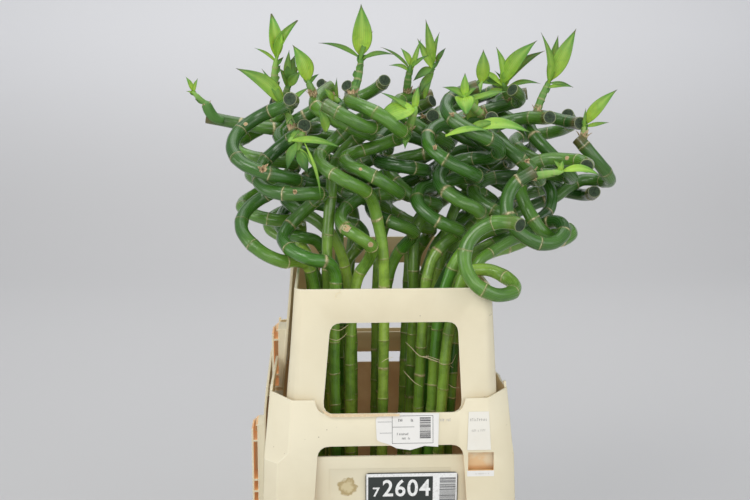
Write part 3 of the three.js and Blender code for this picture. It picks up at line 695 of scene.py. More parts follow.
def culm_line(culm, number):
    """Points of a culm with their thickness and the values that colour it."""
    draw = random.Random(CULM_SEED + number)
    own = draw.uniform(-0.15, 0.65)
    tones = [float(np.clip(own + draw.uniform(-0.2, 0.6), 0, 1)) for _ in range(len(culm.joints) + 1)]
    rings = [(draw.uniform(0.6, 1.0), draw.uniform(0.34, 0.55)) for _ in culm.joints]
    papery = random.Random(BARK_SEED + number)
    rings = [PAPERY_RING if papery.random() < PAPERY_SHARE else ring for ring in rings]
    bark = papery.uniform(0.4, 0.95)
    sunny = draw.uniform(0.0, 0.3)
    freshness = draw.uniform(0.5, 1.0)
    line = []

    def husky(distance):
        """Brownish ringed skin over the last stretch before the sawn end."""
        fade = math.exp(-(((culm.length - distance) / BARK_REACH) ** 4))
        return fade * (bark + 0.3 * math.sin(distance * 2.1))

    def spot(distance, girth, cut=0.0, place=None):
        off = culm.off_joint(distance)
        strength, wide = rings[culm.joint_at(distance)]
        straight = 1 - np.clip((distance - culm.knee) / FRESH_FADE, 0, 1)
        bare = 1.0 if cut == 0 else 0.0
        line.append(section(
            culm.at(distance) if place is None else place, girth, distance, culm.heading(distance),
            tone=tones[sum(joint <= distance for joint in culm.joints)],
            fresh=straight * freshness + (1 - straight) * sunny * 0.6,
            scar=bare * strength * math.exp(-((off / wide) ** 2)),
            blush=bare * (0.4 * math.exp(-(((off + 1.2) / 0.7) ** 2)) + husky(distance)),
            near=bare * math.exp(-((off / 2.5) ** 2)),
            cut=cut,
        ))

    for distance in culm.stops():
        spot(distance, culm.thickness(distance))
    end = culm.length - END_BACK
    radius = culm.thickness(end)
    spot(end, radius)
    tip = culm.at(end)
    ahead = culm.heading(end)
    for rise, share, cut in CUT_END:
        spot(end, radius * share, cut, tip + ahead * rise)
    return line


# Shoots

# A shoot: where it sits, where its leaves start, and its leaves. A leaf has its angle as seen from
# the front (0 right, 90 up), its turn towards the front, length, width, and shade (0 light, 1 dark).
SHOOTS = [
    ((-195, 26, 641), (-210, 22, 658),
     [(112, 10, 17, 5.5, 0.1), (73, 5, 17, 4.5, 0.3), (157, 20, 11, 4, 0.2)]),
    ((-112, -16, 650), (-114, -20, 695),
     [(96, 8, 47, 15, 0.0, 0.7), (64, 16, 49, 11, 0.3, 0.9), (146, 10, 29, 4, 0.3), (52, 5, 12, 5, 0.9)]),
    ((-98, -44, 631), (-105, -48, 644),
     [(140, 12, 67, 18, 0.35), (119, 0, 50, 8, 0.6), (49, 14, 37, 9, 0.4)]),
    ((-99, 8, 648), (-102, 4, 666), [(89, 5, 37, 9, 0.5), (62, 5, 28, 9, 0.55)]),
    ((-71, -58, 654), (-80, -62, 671), [(111, 14, 42, 18, 0.1), (46, 5, 15, 5, 0.9)]),
    ((-29, -68, 667), (-25, -72, 698),
     [(90, 12, 54, 21, 0.15), (157, 14, 47, 6, 0.8), (10, 14, 37, 6, 0.8), (66, -6, 36, 5, 0.8)]),
    ((-49, -40, 647), (-49, -44, 650), [(92, 6, 25, 4, 0.7)]),
    ((23, -82, 617), (30, -100, 645), [(201, 14, 48, 24, 0.22), (82, 5, 26, 8, 0.3), (148, 6, 42, 7, 0.6)]),
    ((33, -10, 662), (31, -14, 685),
     [(118, 5, 23, 8, 0.25), (141, 12, 41, 4, 0.8), (159, 20, 25, 6, 0.5), (72, 0, 40, 6, 0.4)]),
    ((62, 0, 660), (57, -4, 686), [(100, 8, 51, 11, 0.4), (79, 0, 40, 6, 0.5), (51, 10, 15, 5, 0.9)]),
    ((82, -84, 627), (81, -88, 657),
     [(272, 52, 29, 21, 0.2), (92, 6, 26, 9, 0.15), (154, 10, 30, 9, 0.6), (14, 10, 42, 7, 0.55)]),
    ((114, -4, 644), (110, -8, 667), [(88, 8, 37, 15, 0.3)]),
    ((134, 8, 639), (136, 4, 666),
     [(55, 14, 60, 20, 0.3), (40, 4, 59, 11, 0.75), (93, 10, 31, 12, 0.3), (12, 22, 40, 7, 0.7),
      (121, 0, 27, 5, 0.9)]),
    ((181, -24, 641), (182, -28, 670),
     [(66, 10, 63, 18, 0.25), (79, -4, 53, 11, 0.5), (100, 14, 59, 8, 0.4), (3, 12, 28, 6, 0.5)]),
    ((69, -100, 622), (87, -106, 624), [(357, 14, 62, 16, 0.15), (14, 10, 29, 8, 0.5)]),
    ((204, -16, 596), (224, -20, 622), [(52, 12, 52, 14, 0.15), (13, 14, 27, 5, 0.45), (88, 4, 23, 4, 0.6)]),
    ((153, -112, 559), (180, -116, 581), [(357, 20, 40, 9, 0.15), (75, 8, 13, 6, 0.3)]),
    ((-107, -98, 612), (-99, -102, 613), [(354, 18, 57, 8, 0.4), (44, 8, 14, 6, 0.6)]),
    ((-93, -104, 611), (-91, -108, 605), [(292, 8, 27, 12, 0.9), (307, 14, 27, 4, 0.4)]),
]
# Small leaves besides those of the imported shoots: where the leaf starts, then the leaf as above.
LOOSE_LEAVES = [
    ((-101, 2, 667), (80, 0, 31, 13, 0.8)), ((-102, 0, 664), (52, 15, 22, 12, 0.6)),
    ((-103, 4, 662), (112, 10, 24, 9, 0.7)), ((56, -5, 683), (117, 5, 37, 9, 0.25)),
    ((56, -5, 684), (213, 10, 26, 11, 0.85)), ((57, -4, 678), (236, 15, 30, 10, 0.75)),
    ((60, -4, 690), (58, 10, 19, 6, 0.95)), ((135, 3, 664), (172, 10, 35, 9, 0.5)),
    ((134, 3, 662), (150, 8, 26, 9, 0.85)), ((137, 4, 668), (104, 2, 40, 9, 0.15)),
    ((135, 2, 660), (204, 15, 31, 10, 0.65)), ((182, -29, 668), (350, 16, 26, 5, 0.9)),
    ((-62, -95, 621), (107, 8, 25, 10, 0.5)), ((-54, -70, 651), (125, 8, 18, 7, 0.45)),
    ((23, -90, 627), (262, 14, 25, 9, 0.3)), ((92, -60, 628), (84, 6, 24, 13, 0.7)),
    ((31, -14, 684), (38, 8, 24, 6, 0.75)), ((-27, -72, 690), (40, 6, 15, 7, 0.95)),
    ((181, -110, 582), (130, 10, 14, 5, 0.2)), ((81, -88, 655), (40, 12, 18, 7, 0.5)),
    ((-84, -112, 611), (286, 2, 62, 3.4, 0.35)), ((58, -130, 619), (7, 2, 46, 8, 0.3)),
    ((134, 2, 664), (148, 8, 34, 8, 0.0)), ((-92, -108, 611), (250, 10, 30, 10, 0.85)),
    ((104, -20, 640), (120, 8, 20, 7, 0.6)), ((44, -40, 652), (70, 10, 22, 6, 0.7)),
]
# Dry tufts left where a side shoot has died back: place and size.
TUFTS = [
    ((-127, -100, 579), 9.0), ((-98, -100, 555), 6.5),
    ((28, 6, 656), 5.0), ((-34, -54, 657), 4.0), ((49, -30, 656), 5.0), ((102, -22, 640), 7.0),
    ((110, -10, 636), 6.0), ((158, -100, 607), 4.5), ((-62, -60, 640), 4.5), ((63, -100, 609), 4.0),
    ((58, -112, 620), 4.5),
]
# How dark each shoot's stalk is where it isn't fresh and pale.
DARK_STALKS = {6: 0.15, 9: 0.1, 10: 0.2, 13: 0.35, 14: 0.3, 4: 0.3, 5: 0.35}
# Radius at which dry sheaths begin: round a stalk, and at a tuft's middle.
STALK_FOOT = 3.2
TUFT_FOOT = 0.4
# A stalk that turns before it rises: places and radii from inside the culm to the first leaf.
BENT_STALKS = {
    1: [
        ((-174, 27, 624), 3.4), ((-181, 26.5, 625), 4.8), ((-187, 26, 628), 5.8),
        ((-191.5, 25, 633.5), 6.3), ((-194, 24, 640), 6.1), ((-195, 24, 643), 5.3),
        ((-197, 23.5, 645), 3.0), ((-201, 23, 648.5), 2.6), ((-205, 22.5, 652), 2.9),
        ((-208, 22, 655), 2.1), ((-211, 22, 658), 1.6),
    ],
}
# Which of those places is the crown, where dry sheaths stand.
BENT_CROWN = 5
# Its bends are eased over these shares of its length to either side.
SOFT_TURN = (-0.08, -0.04, 0.0, 0.04, 0.08)
BLADE_ROWS = 18
BLADE_COLUMNS = 8
BLADE_THICK = 0.5
# Where a leaf is widest, as a share of its length, and which way its upper face looks.
WIDEST = 0.41
BLADE_FACE = Vector((0, -0.78, 0.62))
# Where the bracts sit on a stalk, as shares of its height.
BRACTS = (0.3, 0.48, 0.64, 0.8)
# Radius of a stalk at shares of its length.
STALK_TAPER = ((0, 0.5, 0.86, 1), (4.5, 4.1, 3.0, 0.9))
BENT_STEPS = 44
STALK_SIDES = 12
HUSK_SIZE = 7.0
# The bent stalk bears its sheath at its crown, so only a small one stands at its root.
ROOT_HUSK_SIZE = 2.0
HUSK_FLAPS = 9
# How far along its frame a dry sheath begins, and how far a tuft leans up from the front.
HUSK_START = 6.5
TUFT_RISE = 0.4
# The bent stalk's sheath: how far back it begins, its size and the radius it begins at.
CROWN_HUSK = (7.5, 3.2, 4.2)
# Bracts: how far they turn from the stalk, their turn to the front, their width and shade.
BRACT_TURN = 26
BRACT_FORWARD = 12
BRACT_WIDTH = 6.5
BRACT_SHADE = 0.85
# Each row of a dry sheath's flap: share of its height and of its width.
HUSK_ROWS = ((0, 1), (0.45, 0.9), (0.8, 0.5), (1, 0.08))


def nearest_spot(culms, aim):
    """Culm and distance along it whose centreline passes nearest to a point."""
    best = (1e9, None, 0.0)
    for culm in culms:
        for distance in np.arange(0, culm.length - 4, 6.0):
            away = np.linalg.norm(culm.at(distance) - np.array(aim))
            if away < best[0]:
                best = (away, culm, distance)
    return best[1], best[2]


def blade_points(foot, leaf, draw):
    """Grid of a leaf's upper face, then its lower one, with each point's place on the blade."""
    angle, forward, length, width, shade, *rest = leaf
    roll = rest[0] if rest else 0.0
    a, f = math.radians(angle), math.radians(forward)
    ahead = Vector((math.cos(a) * math.cos(f), -math.sin(f), math.sin(a) * math.cos(f)))
    face = square_to(BLADE_FACE, ahead)
    across = face.cross(ahead)
    twist = draw.uniform(-0.35, 0.35)
    wave = draw.uniform(0, 6.28)
    sway = draw.uniform(-0.06, 0.06) * length
    droop = draw.uniform(0.06, 0.2)
    points = []
    marks = []
    for side in (1, -1):
        for row in range(BLADE_ROWS + 1):
            t = row / BLADE_ROWS
            s = t * (1 - 0.08 * roll)
            profile = (s / WIDEST) ** 0.9 * ((1 - s) / (1 - WIDEST)) ** (0.9 * (1 - WIDEST) / WIDEST)
            half = max(width / 2 * profile, min(1.5, width * 0.2) * (1 - t), 0.1)
            arch = length * (0.13 * math.sin(math.pi * 0.8 * t) - droop * t**3)
            turn = twist * t
            right = across * math.cos(turn) + face * math.sin(turn)
            over = face * math.cos(turn) - across * math.sin(turn)
            rib = foot + ahead * (length * t) + face * arch + across * (sway * math.sin(math.pi * t))
            fold = (0.34 * (1 - t) + 0.12) * (1 + 2.2 * roll)
            for column in range(BLADE_COLUMNS + 1):
                s = column / BLADE_COLUMNS * 2 - 1
                lift = fold * half * abs(s) ** 1.4
                lift += 0.05 * half * math.sin(9 * t + wave) * s * abs(s)
                thick = BLADE_THICK * (0.5 if abs(s) < 1 else 0.16) * (1 - 0.5 * t)
                points.append((rib + right * (half * s) + over * (lift + side * thick)) * MM)
                marks.append((s, t, shade))
    return points, marks


def sheet_faces(start, rows, columns):
    """Faces of a closed sheet: a grid of upper points begins at start, the lower ones follow."""
    rings = []
    for row in range(rows):
        upper = range(start + row * columns, start + (row + 1) * columns)
        rings.append([*upper, *(spot + rows * columns for spot in reversed(upper))])
    faces = []
    for ring, onward in zip(rings, rings[1:]):
        faces += [(ring[k - 1], ring[k], onward[k], onward[k - 1]) for k in range(2 * columns)]
    for ring in (rings[0], rings[-1][::-1]):
        faces += [(ring[k], ring[-1 - k], ring[-2 - k], ring[k + 1]) for k in range(columns - 1)]
    return faces


class Blades:
    """Leaves gathered into one mesh."""

    def __init__(self):
        self.points = []
        self.marks = []
        self.faces = []

    def grow(self, foot, leaf, draw):
        self.faces += sheet_faces(len(self.points), BLADE_ROWS + 1, BLADE_COLUMNS + 1)
        points, marks = blade_points(foot, leaf, draw)
        self.points += points
        self.marks += marks

    def settle(self, name, finish, *nodes):
        made = piece(name, self.points, self.faces, finish, {"blade": self.marks})
        return settle_piece(made, "shoot", *nodes)


def bend_place(bend, t):
    """Point at a share of a bent stalk, with its corners eased."""
    spread = np.linspace(0, 1, len(bend))
    return Vector([
        np.mean([np.interp(t + shift, spread, [place[axis] for place, _ in bend]) for shift in SOFT_TURN])
        for axis in range(3)
    ])


def stalk_line(number, root, along, length, bow, knots):
    """Points of a shoot's stalk, with a thin ring at each bract."""
    bent = BENT_STALKS.get(number)
    steps = BENT_STEPS if bent else max(8, int(length / 1.6))
    line = []
    for i in range(steps + 1):
        t = i / steps
        share = 0.25 if i in (0, steps) else 1.0
        if bent:
            onward = (bend_place(bent, t + 0.02) - bend_place(bent, t - 0.02)).normalized()
            radius = np.interp(t, np.linspace(0, 1, len(bent)), [girth for _, girth in bent])
            place = bend_place(bent, t)
            line.append(section(place, radius * share, t * length, onward, fresh=max(0, 2 * t - 1)))
            continue
        off = min([t * length - k for k in knots], key=abs)
        radius = np.interp(t, *STALK_TAPER) + 0.4 * math.exp(-((off / 0.8) ** 2))
        place = root + along * (length * t) + bow * math.sin(math.pi * t)
        line.append(section(
            place, radius * share, t * length, along,
            fresh=(0.25 + 0.75 * t) * DARK_STALKS.get(number, 1.0),
            scar=0.7 * math.exp(-((off / 0.6) ** 2)),
            blush=0.9 * math.exp(-((t * length / 9) ** 4)),
        ))
    return line


def shoot_pieces(culms, number, shoot, finishes):
    """Leaves and stalk of one shoot; gives the frame and size of the dry husk at its foot."""
    seat, head, leaves = shoot
    draw = random.Random(SHOOT_SEED + number)
    culm, distance = nearest_spot(culms, seat)
    root = Vector(culm.at(distance))
    rise = Vector(head) - root
    along = rise.normalized()
    side = along.cross(Vector((0, 1, 0))).normalized()
    back = along.cross(side)
    blades = Blades()
    for i, leaf in enumerate(leaves):
        height = max(0.4 * rise.length - 0.3 * i, rise.length - 2.7 * i)
        blades.grow(root + along * height + back * (0.6 * i - 1), leaf, draw)
    knots = [rise.length * share for share in BRACTS]
    lean = math.degrees(math.atan2(rise.z, rise.x))
    for i, knot in enumerate(knots):
        hand = -1 if i % 2 else 1
        turn = lean - BRACT_TURN * hand
        bract = (turn, BRACT_FORWARD * hand, draw.uniform(7, 11), BRACT_WIDTH, BRACT_SHADE)
        blades.grow(root + along * (knot + 1) + side * (0.9 * hand), bract, draw)
    label = f"shoot_{number:02d}"
    blades.settle(f"{label}_leaves", finishes["leaf"], label)

    length = rise.length + 3
    bow = side * draw.uniform(-0.05, 0.05) * length
    line = stalk_line(number, root, along, length, bow, knots)
    stalk = skin(f"{label}_stalk", [line], finishes["stalk"], STALK_SIDES, number)
    settle_piece(stalk, "shoot", label)
    size = ROOT_HUSK_SIZE if number in BENT_STALKS else HUSK_SIZE
    return root, along, side, back, size, STALK_FOOT + 0.6


def husk(root, along, side, back, draw, size, hollow):
    """Points and faces of the torn dry sheath round a shoot's foot."""
    points = []
    faces = []
    for k in range(HUSK_FLAPS):
        angle = math.tau * (k + draw.uniform(-0.3, 0.3)) / HUSK_FLAPS
        out = side * math.cos(angle) + back * math.sin(angle)
        turn = along.cross(out)
        tall = size * draw.uniform(0.5, 1.25)
        wide = size * draw.uniform(0.22, 0.36)
        flare = draw.uniform(0.1, 0.75)
        faces += sheet_faces(len(points), len(HUSK_ROWS), 2)
        for face in (0.25, -0.25):
            for t, share in HUSK_ROWS:
                reach = hollow + flare * tall * t * t + face
                middle = root + along * (HUSK_START + tall * t) + out * reach
                points += [(middle - turn * (wide * share)) * MM, (middle + turn * (wide * share)) * MM]
    return points, faces


def loose_leaves(finish):
    blades = Blades()
    for number, (foot, leaf) in enumerate(LOOSE_LEAVES):
        blades.grow(Vector(foot), leaf, random.Random(LEAF_SEED + number))
    return blades.settle("loose_leaves", finish)


def tuft_feet(culms):
    """The frame of each dry tuft, standing on the culm nearest to its place."""
    feet = []
    for place, size in TUFTS:
        culm, distance = nearest_spot(culms, place)
        ahead = Vector(culm.heading(distance))
        out = square_to(FRONT + UP * TUFT_RISE, ahead)
        root = Vector(culm.at(distance)) + out * (culm.thickness(distance) - HUSK_START)
        feet.append((root, out, ahead, out.cross(ahead), size, TUFT_FOOT))
    for bend in BENT_STALKS.values():
        crown = Vector(bend[BENT_CROWN][0])
        out = (crown - Vector(bend[BENT_CROWN - 2][0])).normalized()
        ahead = out.cross(FRONT).normalized()
        back, size, hollow = CROWN_HUSK
        feet.append((crown - out * back, out, ahead, out.cross(ahead), size, hollow))
    return feet


def husks(feet, finish):
    points = []
    faces = []
    for number, (root, along, side, back, size, hollow) in enumerate(feet):
        draw = random.Random(HUSK_SEED + number)
        more, quads = husk(root, along, side, back, draw, size, hollow)
        faces += [tuple(i + len(points) for i in quad) for quad in quads]
        points += more
    made = piece("shoot_husks", points, faces, finish, smooth=False)
    return settle_piece(made, "shoot")


# Bud scars

# Place near the culm that bears it, half width, half height, and how square the outline is.
SCARS = [
    ((-46, -110, 527), 4.3, 4.6, 0.7), ((-16, -112, 508), 3.2, 3.4, 0.1), ((-147, -60, 624), 2.2, 2.6, 0.3),
    ((194, -80, 572), 2.6, 2.6, 0.2), ((-17, -110, 600), 1.8, 2.2, 0.2),
]
SCAR_RINGS = ((0.8, -1.2), (1.0, -0.2), (0.86, 0.34), (0.62, 0.12))
SCAR_SIDES = 18
SCAR_RISE = 0.25


def bud_scars(culms, finish):
    """Healed buds: uneven closed buttons set into the skin, with a raised rim."""
    points = []
    faces = []
    rims = []
    for number, (spot, wide, tall, square) in enumerate(SCARS):
        draw = random.Random(SCAR_SEED + number)
        culm, distance = nearest_spot(culms, spot)
        ahead = Vector(culm.heading(distance))
        out = square_to(FRONT + UP * SCAR_RISE, ahead)
        across = ahead.cross(out)
        radius = culm.thickness(distance)
        centre = Vector(culm.at(distance))
        start = len(points)
        ragged = [1 + draw.uniform(-0.1, 0.1) for _ in range(SCAR_SIDES)]

        def on_skin(x, y, lift, rim):
            swing = x / radius
            around = out * math.cos(swing) + across * math.sin(swing)
            points.append((centre + ahead * y + around * (radius + lift)) * MM)
            rims.append(rim)

        for share, lift in SCAR_RINGS:
            for k in range(SCAR_SIDES):
                angle = math.tau * k / SCAR_SIDES
                c, s = math.cos(angle), math.sin(angle)
                corner = 1 / max(abs(c), abs(s)) ** 0.8
                bulge = (1 + (corner - 1) * square) * ragged[k]
                rim = share if lift > -1 else 1.0
                on_skin(wide * share * bulge * c, tall * share * bulge * s, lift, rim)
        on_skin(0, 0, 0.05, 0.0)
        on_skin(0, 0, -1.2, 1.0)
        last = start + (len(SCAR_RINGS) - 1) * SCAR_SIDES
        top = last + SCAR_SIDES
        for k in range(SCAR_SIDES):
            onward = (k + 1) % SCAR_SIDES
            for ring in range(len(SCAR_RINGS) - 1):
                a = start + ring * SCAR_SIDES
                faces.append((a + k, a + onward, a + onward + SCAR_SIDES, a + k + SCAR_SIDES))
            faces.append((last + k, last + onward, top))
            faces.append((start + onward, start + k, top + 1))
    made = piece("bud_scars", points, faces, finish, {"rim": rims})
    recalc_outward(made)
    return settle_piece(made, "culm")


# Holder

CORNER_SOFT = 3.5
EDGE_SOFT = 0.7
CORNER_STEPS = 4
EDGE_STEPS = 2
CORNER_LENGTH = 30
# Degrees between faces: what still counts as flat, as a soft corner, as an edge, and as shaded sharp.
FLAT_TURN = 1.2
CORNER_TURN = (20, 60)
EDGE_TURN = 32
SHARP_TURN = 28
# Painted highlight on the rounded edges: how strongly they are lightened.
EDGE_HIGHLIGHT = 0.55
# The pockets beside the windows, whose faces get a painted warm glow: how far out they begin, and between
# which heights in metres.
POCKETS = {"lower": (139.0, 0.178, 0.29), "upper": (114.0, 0.33, 0.3985)}
POCKET_WALL = 8
# How far round the card slot its edges lie: x and z limits; and the y, in metres, of the front side.
SLOT_ROUND = (-6, 12, -4, 5)
FRONT_SIDE = -0.15
SHELLS = (
    "bucket", "lower_collar_front", "lower_collar_rear", "upper_collar_front", "upper_collar_rear",
)


def by_slot(edge):
    """Whether an edge belongs to the card slot, which cuts through a slanting corner."""
    x0, x1, z0, z1 = ((limit + more) * MM for limit, more in zip(SLOT, SLOT_ROUND))
    return any(
        x0 < end.co.x < x1 and z0 < end.co.z < z1 and end.co.y < FRONT_SIDE for end in edge.verts
    )


def bevelled(shell, edges, width, steps):
    """Rounds some edges and gives the new faces."""
    result = bmesh.ops.bevel(
        shell, geom=edges, offset=width * MM, segments=steps, profile=0.5, affect="EDGES",
        clamp_overlap=True,
    )
    return set(result["faces"])


def face_marks(shell, rounded, source):
    """What each face of a shell is: turned inward, in a pocket, a rounded edge, in the slot."""
    limit, low, high = POCKETS["lower" if "lower" in source else "upper"]
    x0, x1, z0, z1, y_front = (value * MM for value in SLOT)
    marks = {"inward": [], "pocket": [], "edge": [], "recess": []}
    for face in shell.faces:
        middle = face.calc_center_median()
        normal = face.normal
        outward = Vector((middle.x, middle.y, 0)).normalized()
        inside = abs(middle.x) > limit * MM and low < middle.z < high and "collar" in source
        turned = abs(normal.z) > 0.5 or normal.y * middle.x < -0.5
        beside = abs(middle.x) < (limit + POCKET_WALL) * MM and abs(normal.x) > 0.9
        sunk = x0 < middle.x < x1 and z0 < middle.z < z1 and y_front < middle.y < FRONT_SIDE
        marks["inward"].append(float(normal.dot(outward) < -0.25))
        marks["pocket"].append(float(inside and (turned or beside)))
        marks["edge"].append(EDGE_HIGHLIGHT if face in rounded else 0.0)
        marks["recess"].append(float(sunk and face not in rounded))
    return marks


def moulded(name, source, finish):
    """A rounded copy of a packed shell: soft upright corners, small radii on every other edge."""
    shell = bmesh.new()
    shell.from_mesh(NODES[source].data)
    bmesh.ops.remove_doubles(shell, verts=shell.verts, dist=3e-5)
    flat = math.radians(FLAT_TURN)
    bmesh.ops.dissolve_limit(shell, angle_limit=flat, verts=shell.verts, edges=shell.edges)
    least, most = (math.radians(turn) for turn in CORNER_TURN)
    corners = [
        edge for edge in shell.edges
        if edge.is_manifold and edge.calc_length() > CORNER_LENGTH * MM
        and least < edge.calc_face_angle(0) < most
        and abs((edge.verts[0].co - edge.verts[1].co).normalized().z) > 0.9 and not by_slot(edge)
    ]
    bevelled(shell, corners, CORNER_SOFT, CORNER_STEPS)
    edge_turn = math.radians(EDGE_TURN)
    sharp = [
        edge for edge in shell.edges
        if edge.is_manifold and edge.calc_face_angle(0) > edge_turn and not by_slot(edge)
    ]
    rounded = bevelled(shell, sharp, EDGE_SOFT, EDGE_STEPS)
    shell.faces.ensure_lookup_table()
    bmesh.ops.triangulate(shell, faces=[face for face in shell.faces if len(face.verts) > 4])
    marks = face_marks(shell, rounded, source)
    mesh = bpy.data.meshes.new(name)
    shell.to_mesh(mesh)
    shell.free()
    store(mesh, marks, "FACE")
    mesh.materials.append(finish)
    made = linked(name, mesh)
    mesh.polygons.foreach_set("use_smooth", [True] * len(mesh.polygons))
    mesh.set_sharp_from_angle(angle=math.radians(SHARP_TURN))
    return made


# Plate, labels and their marks

PLATE_X = (-25.0, 69.0)
PLATE_Z = (236.0, 282.0)
# A front face: y at its foot, the foot's height, and how y changes with height.
COLLAR_FACE = (-189.2, 178.0, 0.0271)
BUCKET_FACE = (-177.4, 259.0, -0.0667)
MARK_LIFT = 0.12
MARK_THICK = 0.1
# Digits stand this far off the plate, and are this thick.
DIGIT_LIFT = (0.03, 0.17)
BAR_HEIGHTS = (0.35, 0.35, 0.7, 1.05)
BAR_GAPS = (0.4, 0.4, 0.8)


def front_face(name):
    """The front of a packed sheet."""
    spots = [corner.co / MM for corner in NODES[name].data.vertices]
    foot = min(spot.z for spot in spots)
    head = max(spot.z for spot in spots)
    y_foot = min(spot.y for spot in spots if spot.z < foot + 0.6)
    y_head = min(spot.y for spot in spots if spot.z > head - 0.6)
    return y_foot, foot, (y_head - y_foot) / (head - foot)


def face_point(surface, x, z, lift):
    """Point on a leaning front face, lifted towards the front."""
    y, level, slope = surface
    return Vector((x, y + slope * (z - level) - lift, z)) * MM


def marks_piece(name, surface, shapes, finish, lift=MARK_LIFT):
    """Thin flat shapes on a face, for print and for strips of painted shade: each is a list of (x, z)
    corners, counter-clockwise.
    """
    points = []
    faces = []
    for shape in shapes:
        start = len(points)
        count = len(shape)
        for height in (lift, lift - MARK_THICK):
            points += [face_point(surface, x, z, height) for x, z in shape]
        faces.append(tuple(range(start, start + count)))
        faces.append(tuple(range(start + 2 * count - 1, start + count - 1, -1)))
        for i in range(count):
            j = (i + 1) % count
            faces.append((start + i, start + count + i, start + count + j, start + j))
    made = piece(name, points, faces, finish, smooth=False)
    recalc_outward(made)
    return settle_piece(made, "paper")


def bar(x0, z0, x1, z1):
    return [(x0, z0), (x1, z0), (x1, z1), (x0, z1)]


def outline_bars(x0, z0, x1, z1, width):
    return [
        bar(x0, z0, x1, z0 + width), bar(x0, z1 - width, x1, z1),
        bar(x0, z0 + width, x0 + width, z1 - width), bar(x1 - width, z0 + width, x1, z1 - width),
    ]


def code_bars(x0, z0, x1, z1, seed):
    """Level bars of uneven height stacked in a field."""
    draw = random.Random(seed)
    bars = []
    z = z0
    while z < z1 - 0.5:
        tall = draw.choice(BAR_HEIGHTS)
        bars.append(bar(x0, z, x1, min(z + tall, z1)))
        z += tall + draw.choice(BAR_GAPS)
    return bars


def word_marks(x0, z0, length, height, seed):
    """Upright strokes that read as a line of small print."""
    draw = random.Random(seed)
    bars = []
    x = x0
    while x < x0 + length:
        wide = draw.uniform(0.25, 0.5) * height
        if draw.random() > 0.22:
            bars.append(bar(x, z0, x + 0.2 * height, z0 + height * draw.uniform(0.7, 1)))
            level = z0 + height * draw.choice((0.0, 0.45, 0.8))
            bars.append(bar(x, level, x + wide, level + 0.2 * height))
        x += wide + 0.22 * height
    return bars


def digits_piece(name, surface, text, box, finish):
    """Raised digits from the built-in typeface, fitted into x0, z0, x1, z1 on the plate."""
    x0, z0, x1, z1 = box
    curve = bpy.data.curves.new(name, "FONT")
    curve.body = text
    curve.size = 1.0
    curve.extrude = 0.5
    curve.offset = 0.016
    curve.space_character = 1.1
    curve.resolution_u = 6
    letters = linked(name, curve)
    mesh = evaluated(letters)
    bpy.data.objects.remove(letters)
    spots = np.array([tuple(corner.co) for corner in mesh.vertices])
    low, high = spots.min(axis=0), spots.max(axis=0)
    lift, thick = DIGIT_LIFT
    for corner in mesh.vertices:
        u, v, w = (np.array(corner.co) - low) / (high - low)
        corner.co = face_point(surface, x0 + u * (x1 - x0), z0 + v * (z1 - z0), lift + thick * w)
    mesh.materials.clear()
    mesh.materials.append(finish)
    made = linked(name, mesh)
    recalc_outward(made)
    return settle_piece(made, "plate")


def plate_marks(finishes):
    front = front_face("number_plate")
    white = finishes["white"]
    x0, x1 = PLATE_X
    z0, z1 = PLATE_Z
    border = [
        bar(x0 + 0.8, z1 - 4.2, x1 - 0.8, z1 - 0.8), bar(x0 + 0.8, z0 + 0.8, x1 - 0.8, z0 + 2.4),
        bar(x0 + 0.8, z0 + 2.4, x0 + 2.6, z1 - 4.2), bar(43.6, z0 + 2.4, x1 - 0.8, z1 - 4.2),
    ]
    marks_piece("plate_border", front, border, white)
    bars = code_bars(50.5, z0 + 4, x1 - 2.2, z1 - 5.4, 31)
    bars += word_marks(45, z0 + 6, 3.4, 1.4, 5)
    marks_piece("plate_code_bars", front, bars, finishes["black"], 0.2)
    digits_piece("plate_number", front, "2604", (-7.6, 256.2, 41, 274.8), white)
    digits_piece("plate_small_number", front, "7", (-17.6, 256.2, -10.4, 266.4), white)
    marks_piece("plate_lower_print", front, word_marks(-16, 243, 56, 6, 41), white)


def label_marks(finishes):
    black = finishes["black"]
    faint = finishes["faint"]
    shapes = outline_bars(1.5, 315, 43, 343, 0.4)
    shapes += code_bars(29.5, 320, 40.5, 341, 12)
    shapes += word_marks(8, 337, 4, 2.8, 3) + word_marks(17.5, 337, 5, 2.8, 4)
    shapes += [bar(2, 331.4, 24, 331.8), bar(-13, 336.8, 1.2, 337.1), bar(-11, 325.6, 1.2, 325.9)]
    shapes += word_marks(6.5, 323.5, 13, 2.2, 8) + word_marks(11.5, 319, 8, 1.9, 9)
    marks_piece("torn_label_print", front_face("torn_label"), shapes, black)
    marks_piece("label_ghost_print", COLLAR_FACE, word_marks(50, 337.5, 10, 2.8, 14), faint)
    shapes = word_marks(80.5, 336.5, 16, 3.0, 21) + word_marks(80.5, 326, 15, 2.2, 22)
    marks_piece("faded_label_print", front_face("faded_label"), shapes, faint)
    marks_piece("slot_strip", COLLAR_FACE, [bar(77.5, 279.4, 105, 285.3)], finishes["torn_label"])
    marks_piece("slot_strip_print", COLLAR_FACE, word_marks(86, 281.6, 14, 1.2, 27), faint, 0.2)
    # A sheet of painted shade standing for the inside of the card slot.
    marks_piece("slot_painted_shade", BUCKET_FACE, [bar(77.2, 284.2, 105.6, 305.8)], finishes["lining"])
    # Painted shade: a warm tan strip under the upper window, where the band below it lies in shadow.
    sill = [(-69, 351), (-65, 346), (-60, 343.4), (9, 343.4), (9, 346), (-60, 346.6), (-65, 349.4)]
    marks_piece("window_sill_painted_shade", COLLAR_FACE, [sill], finishes["sill"])


# Loose fibres

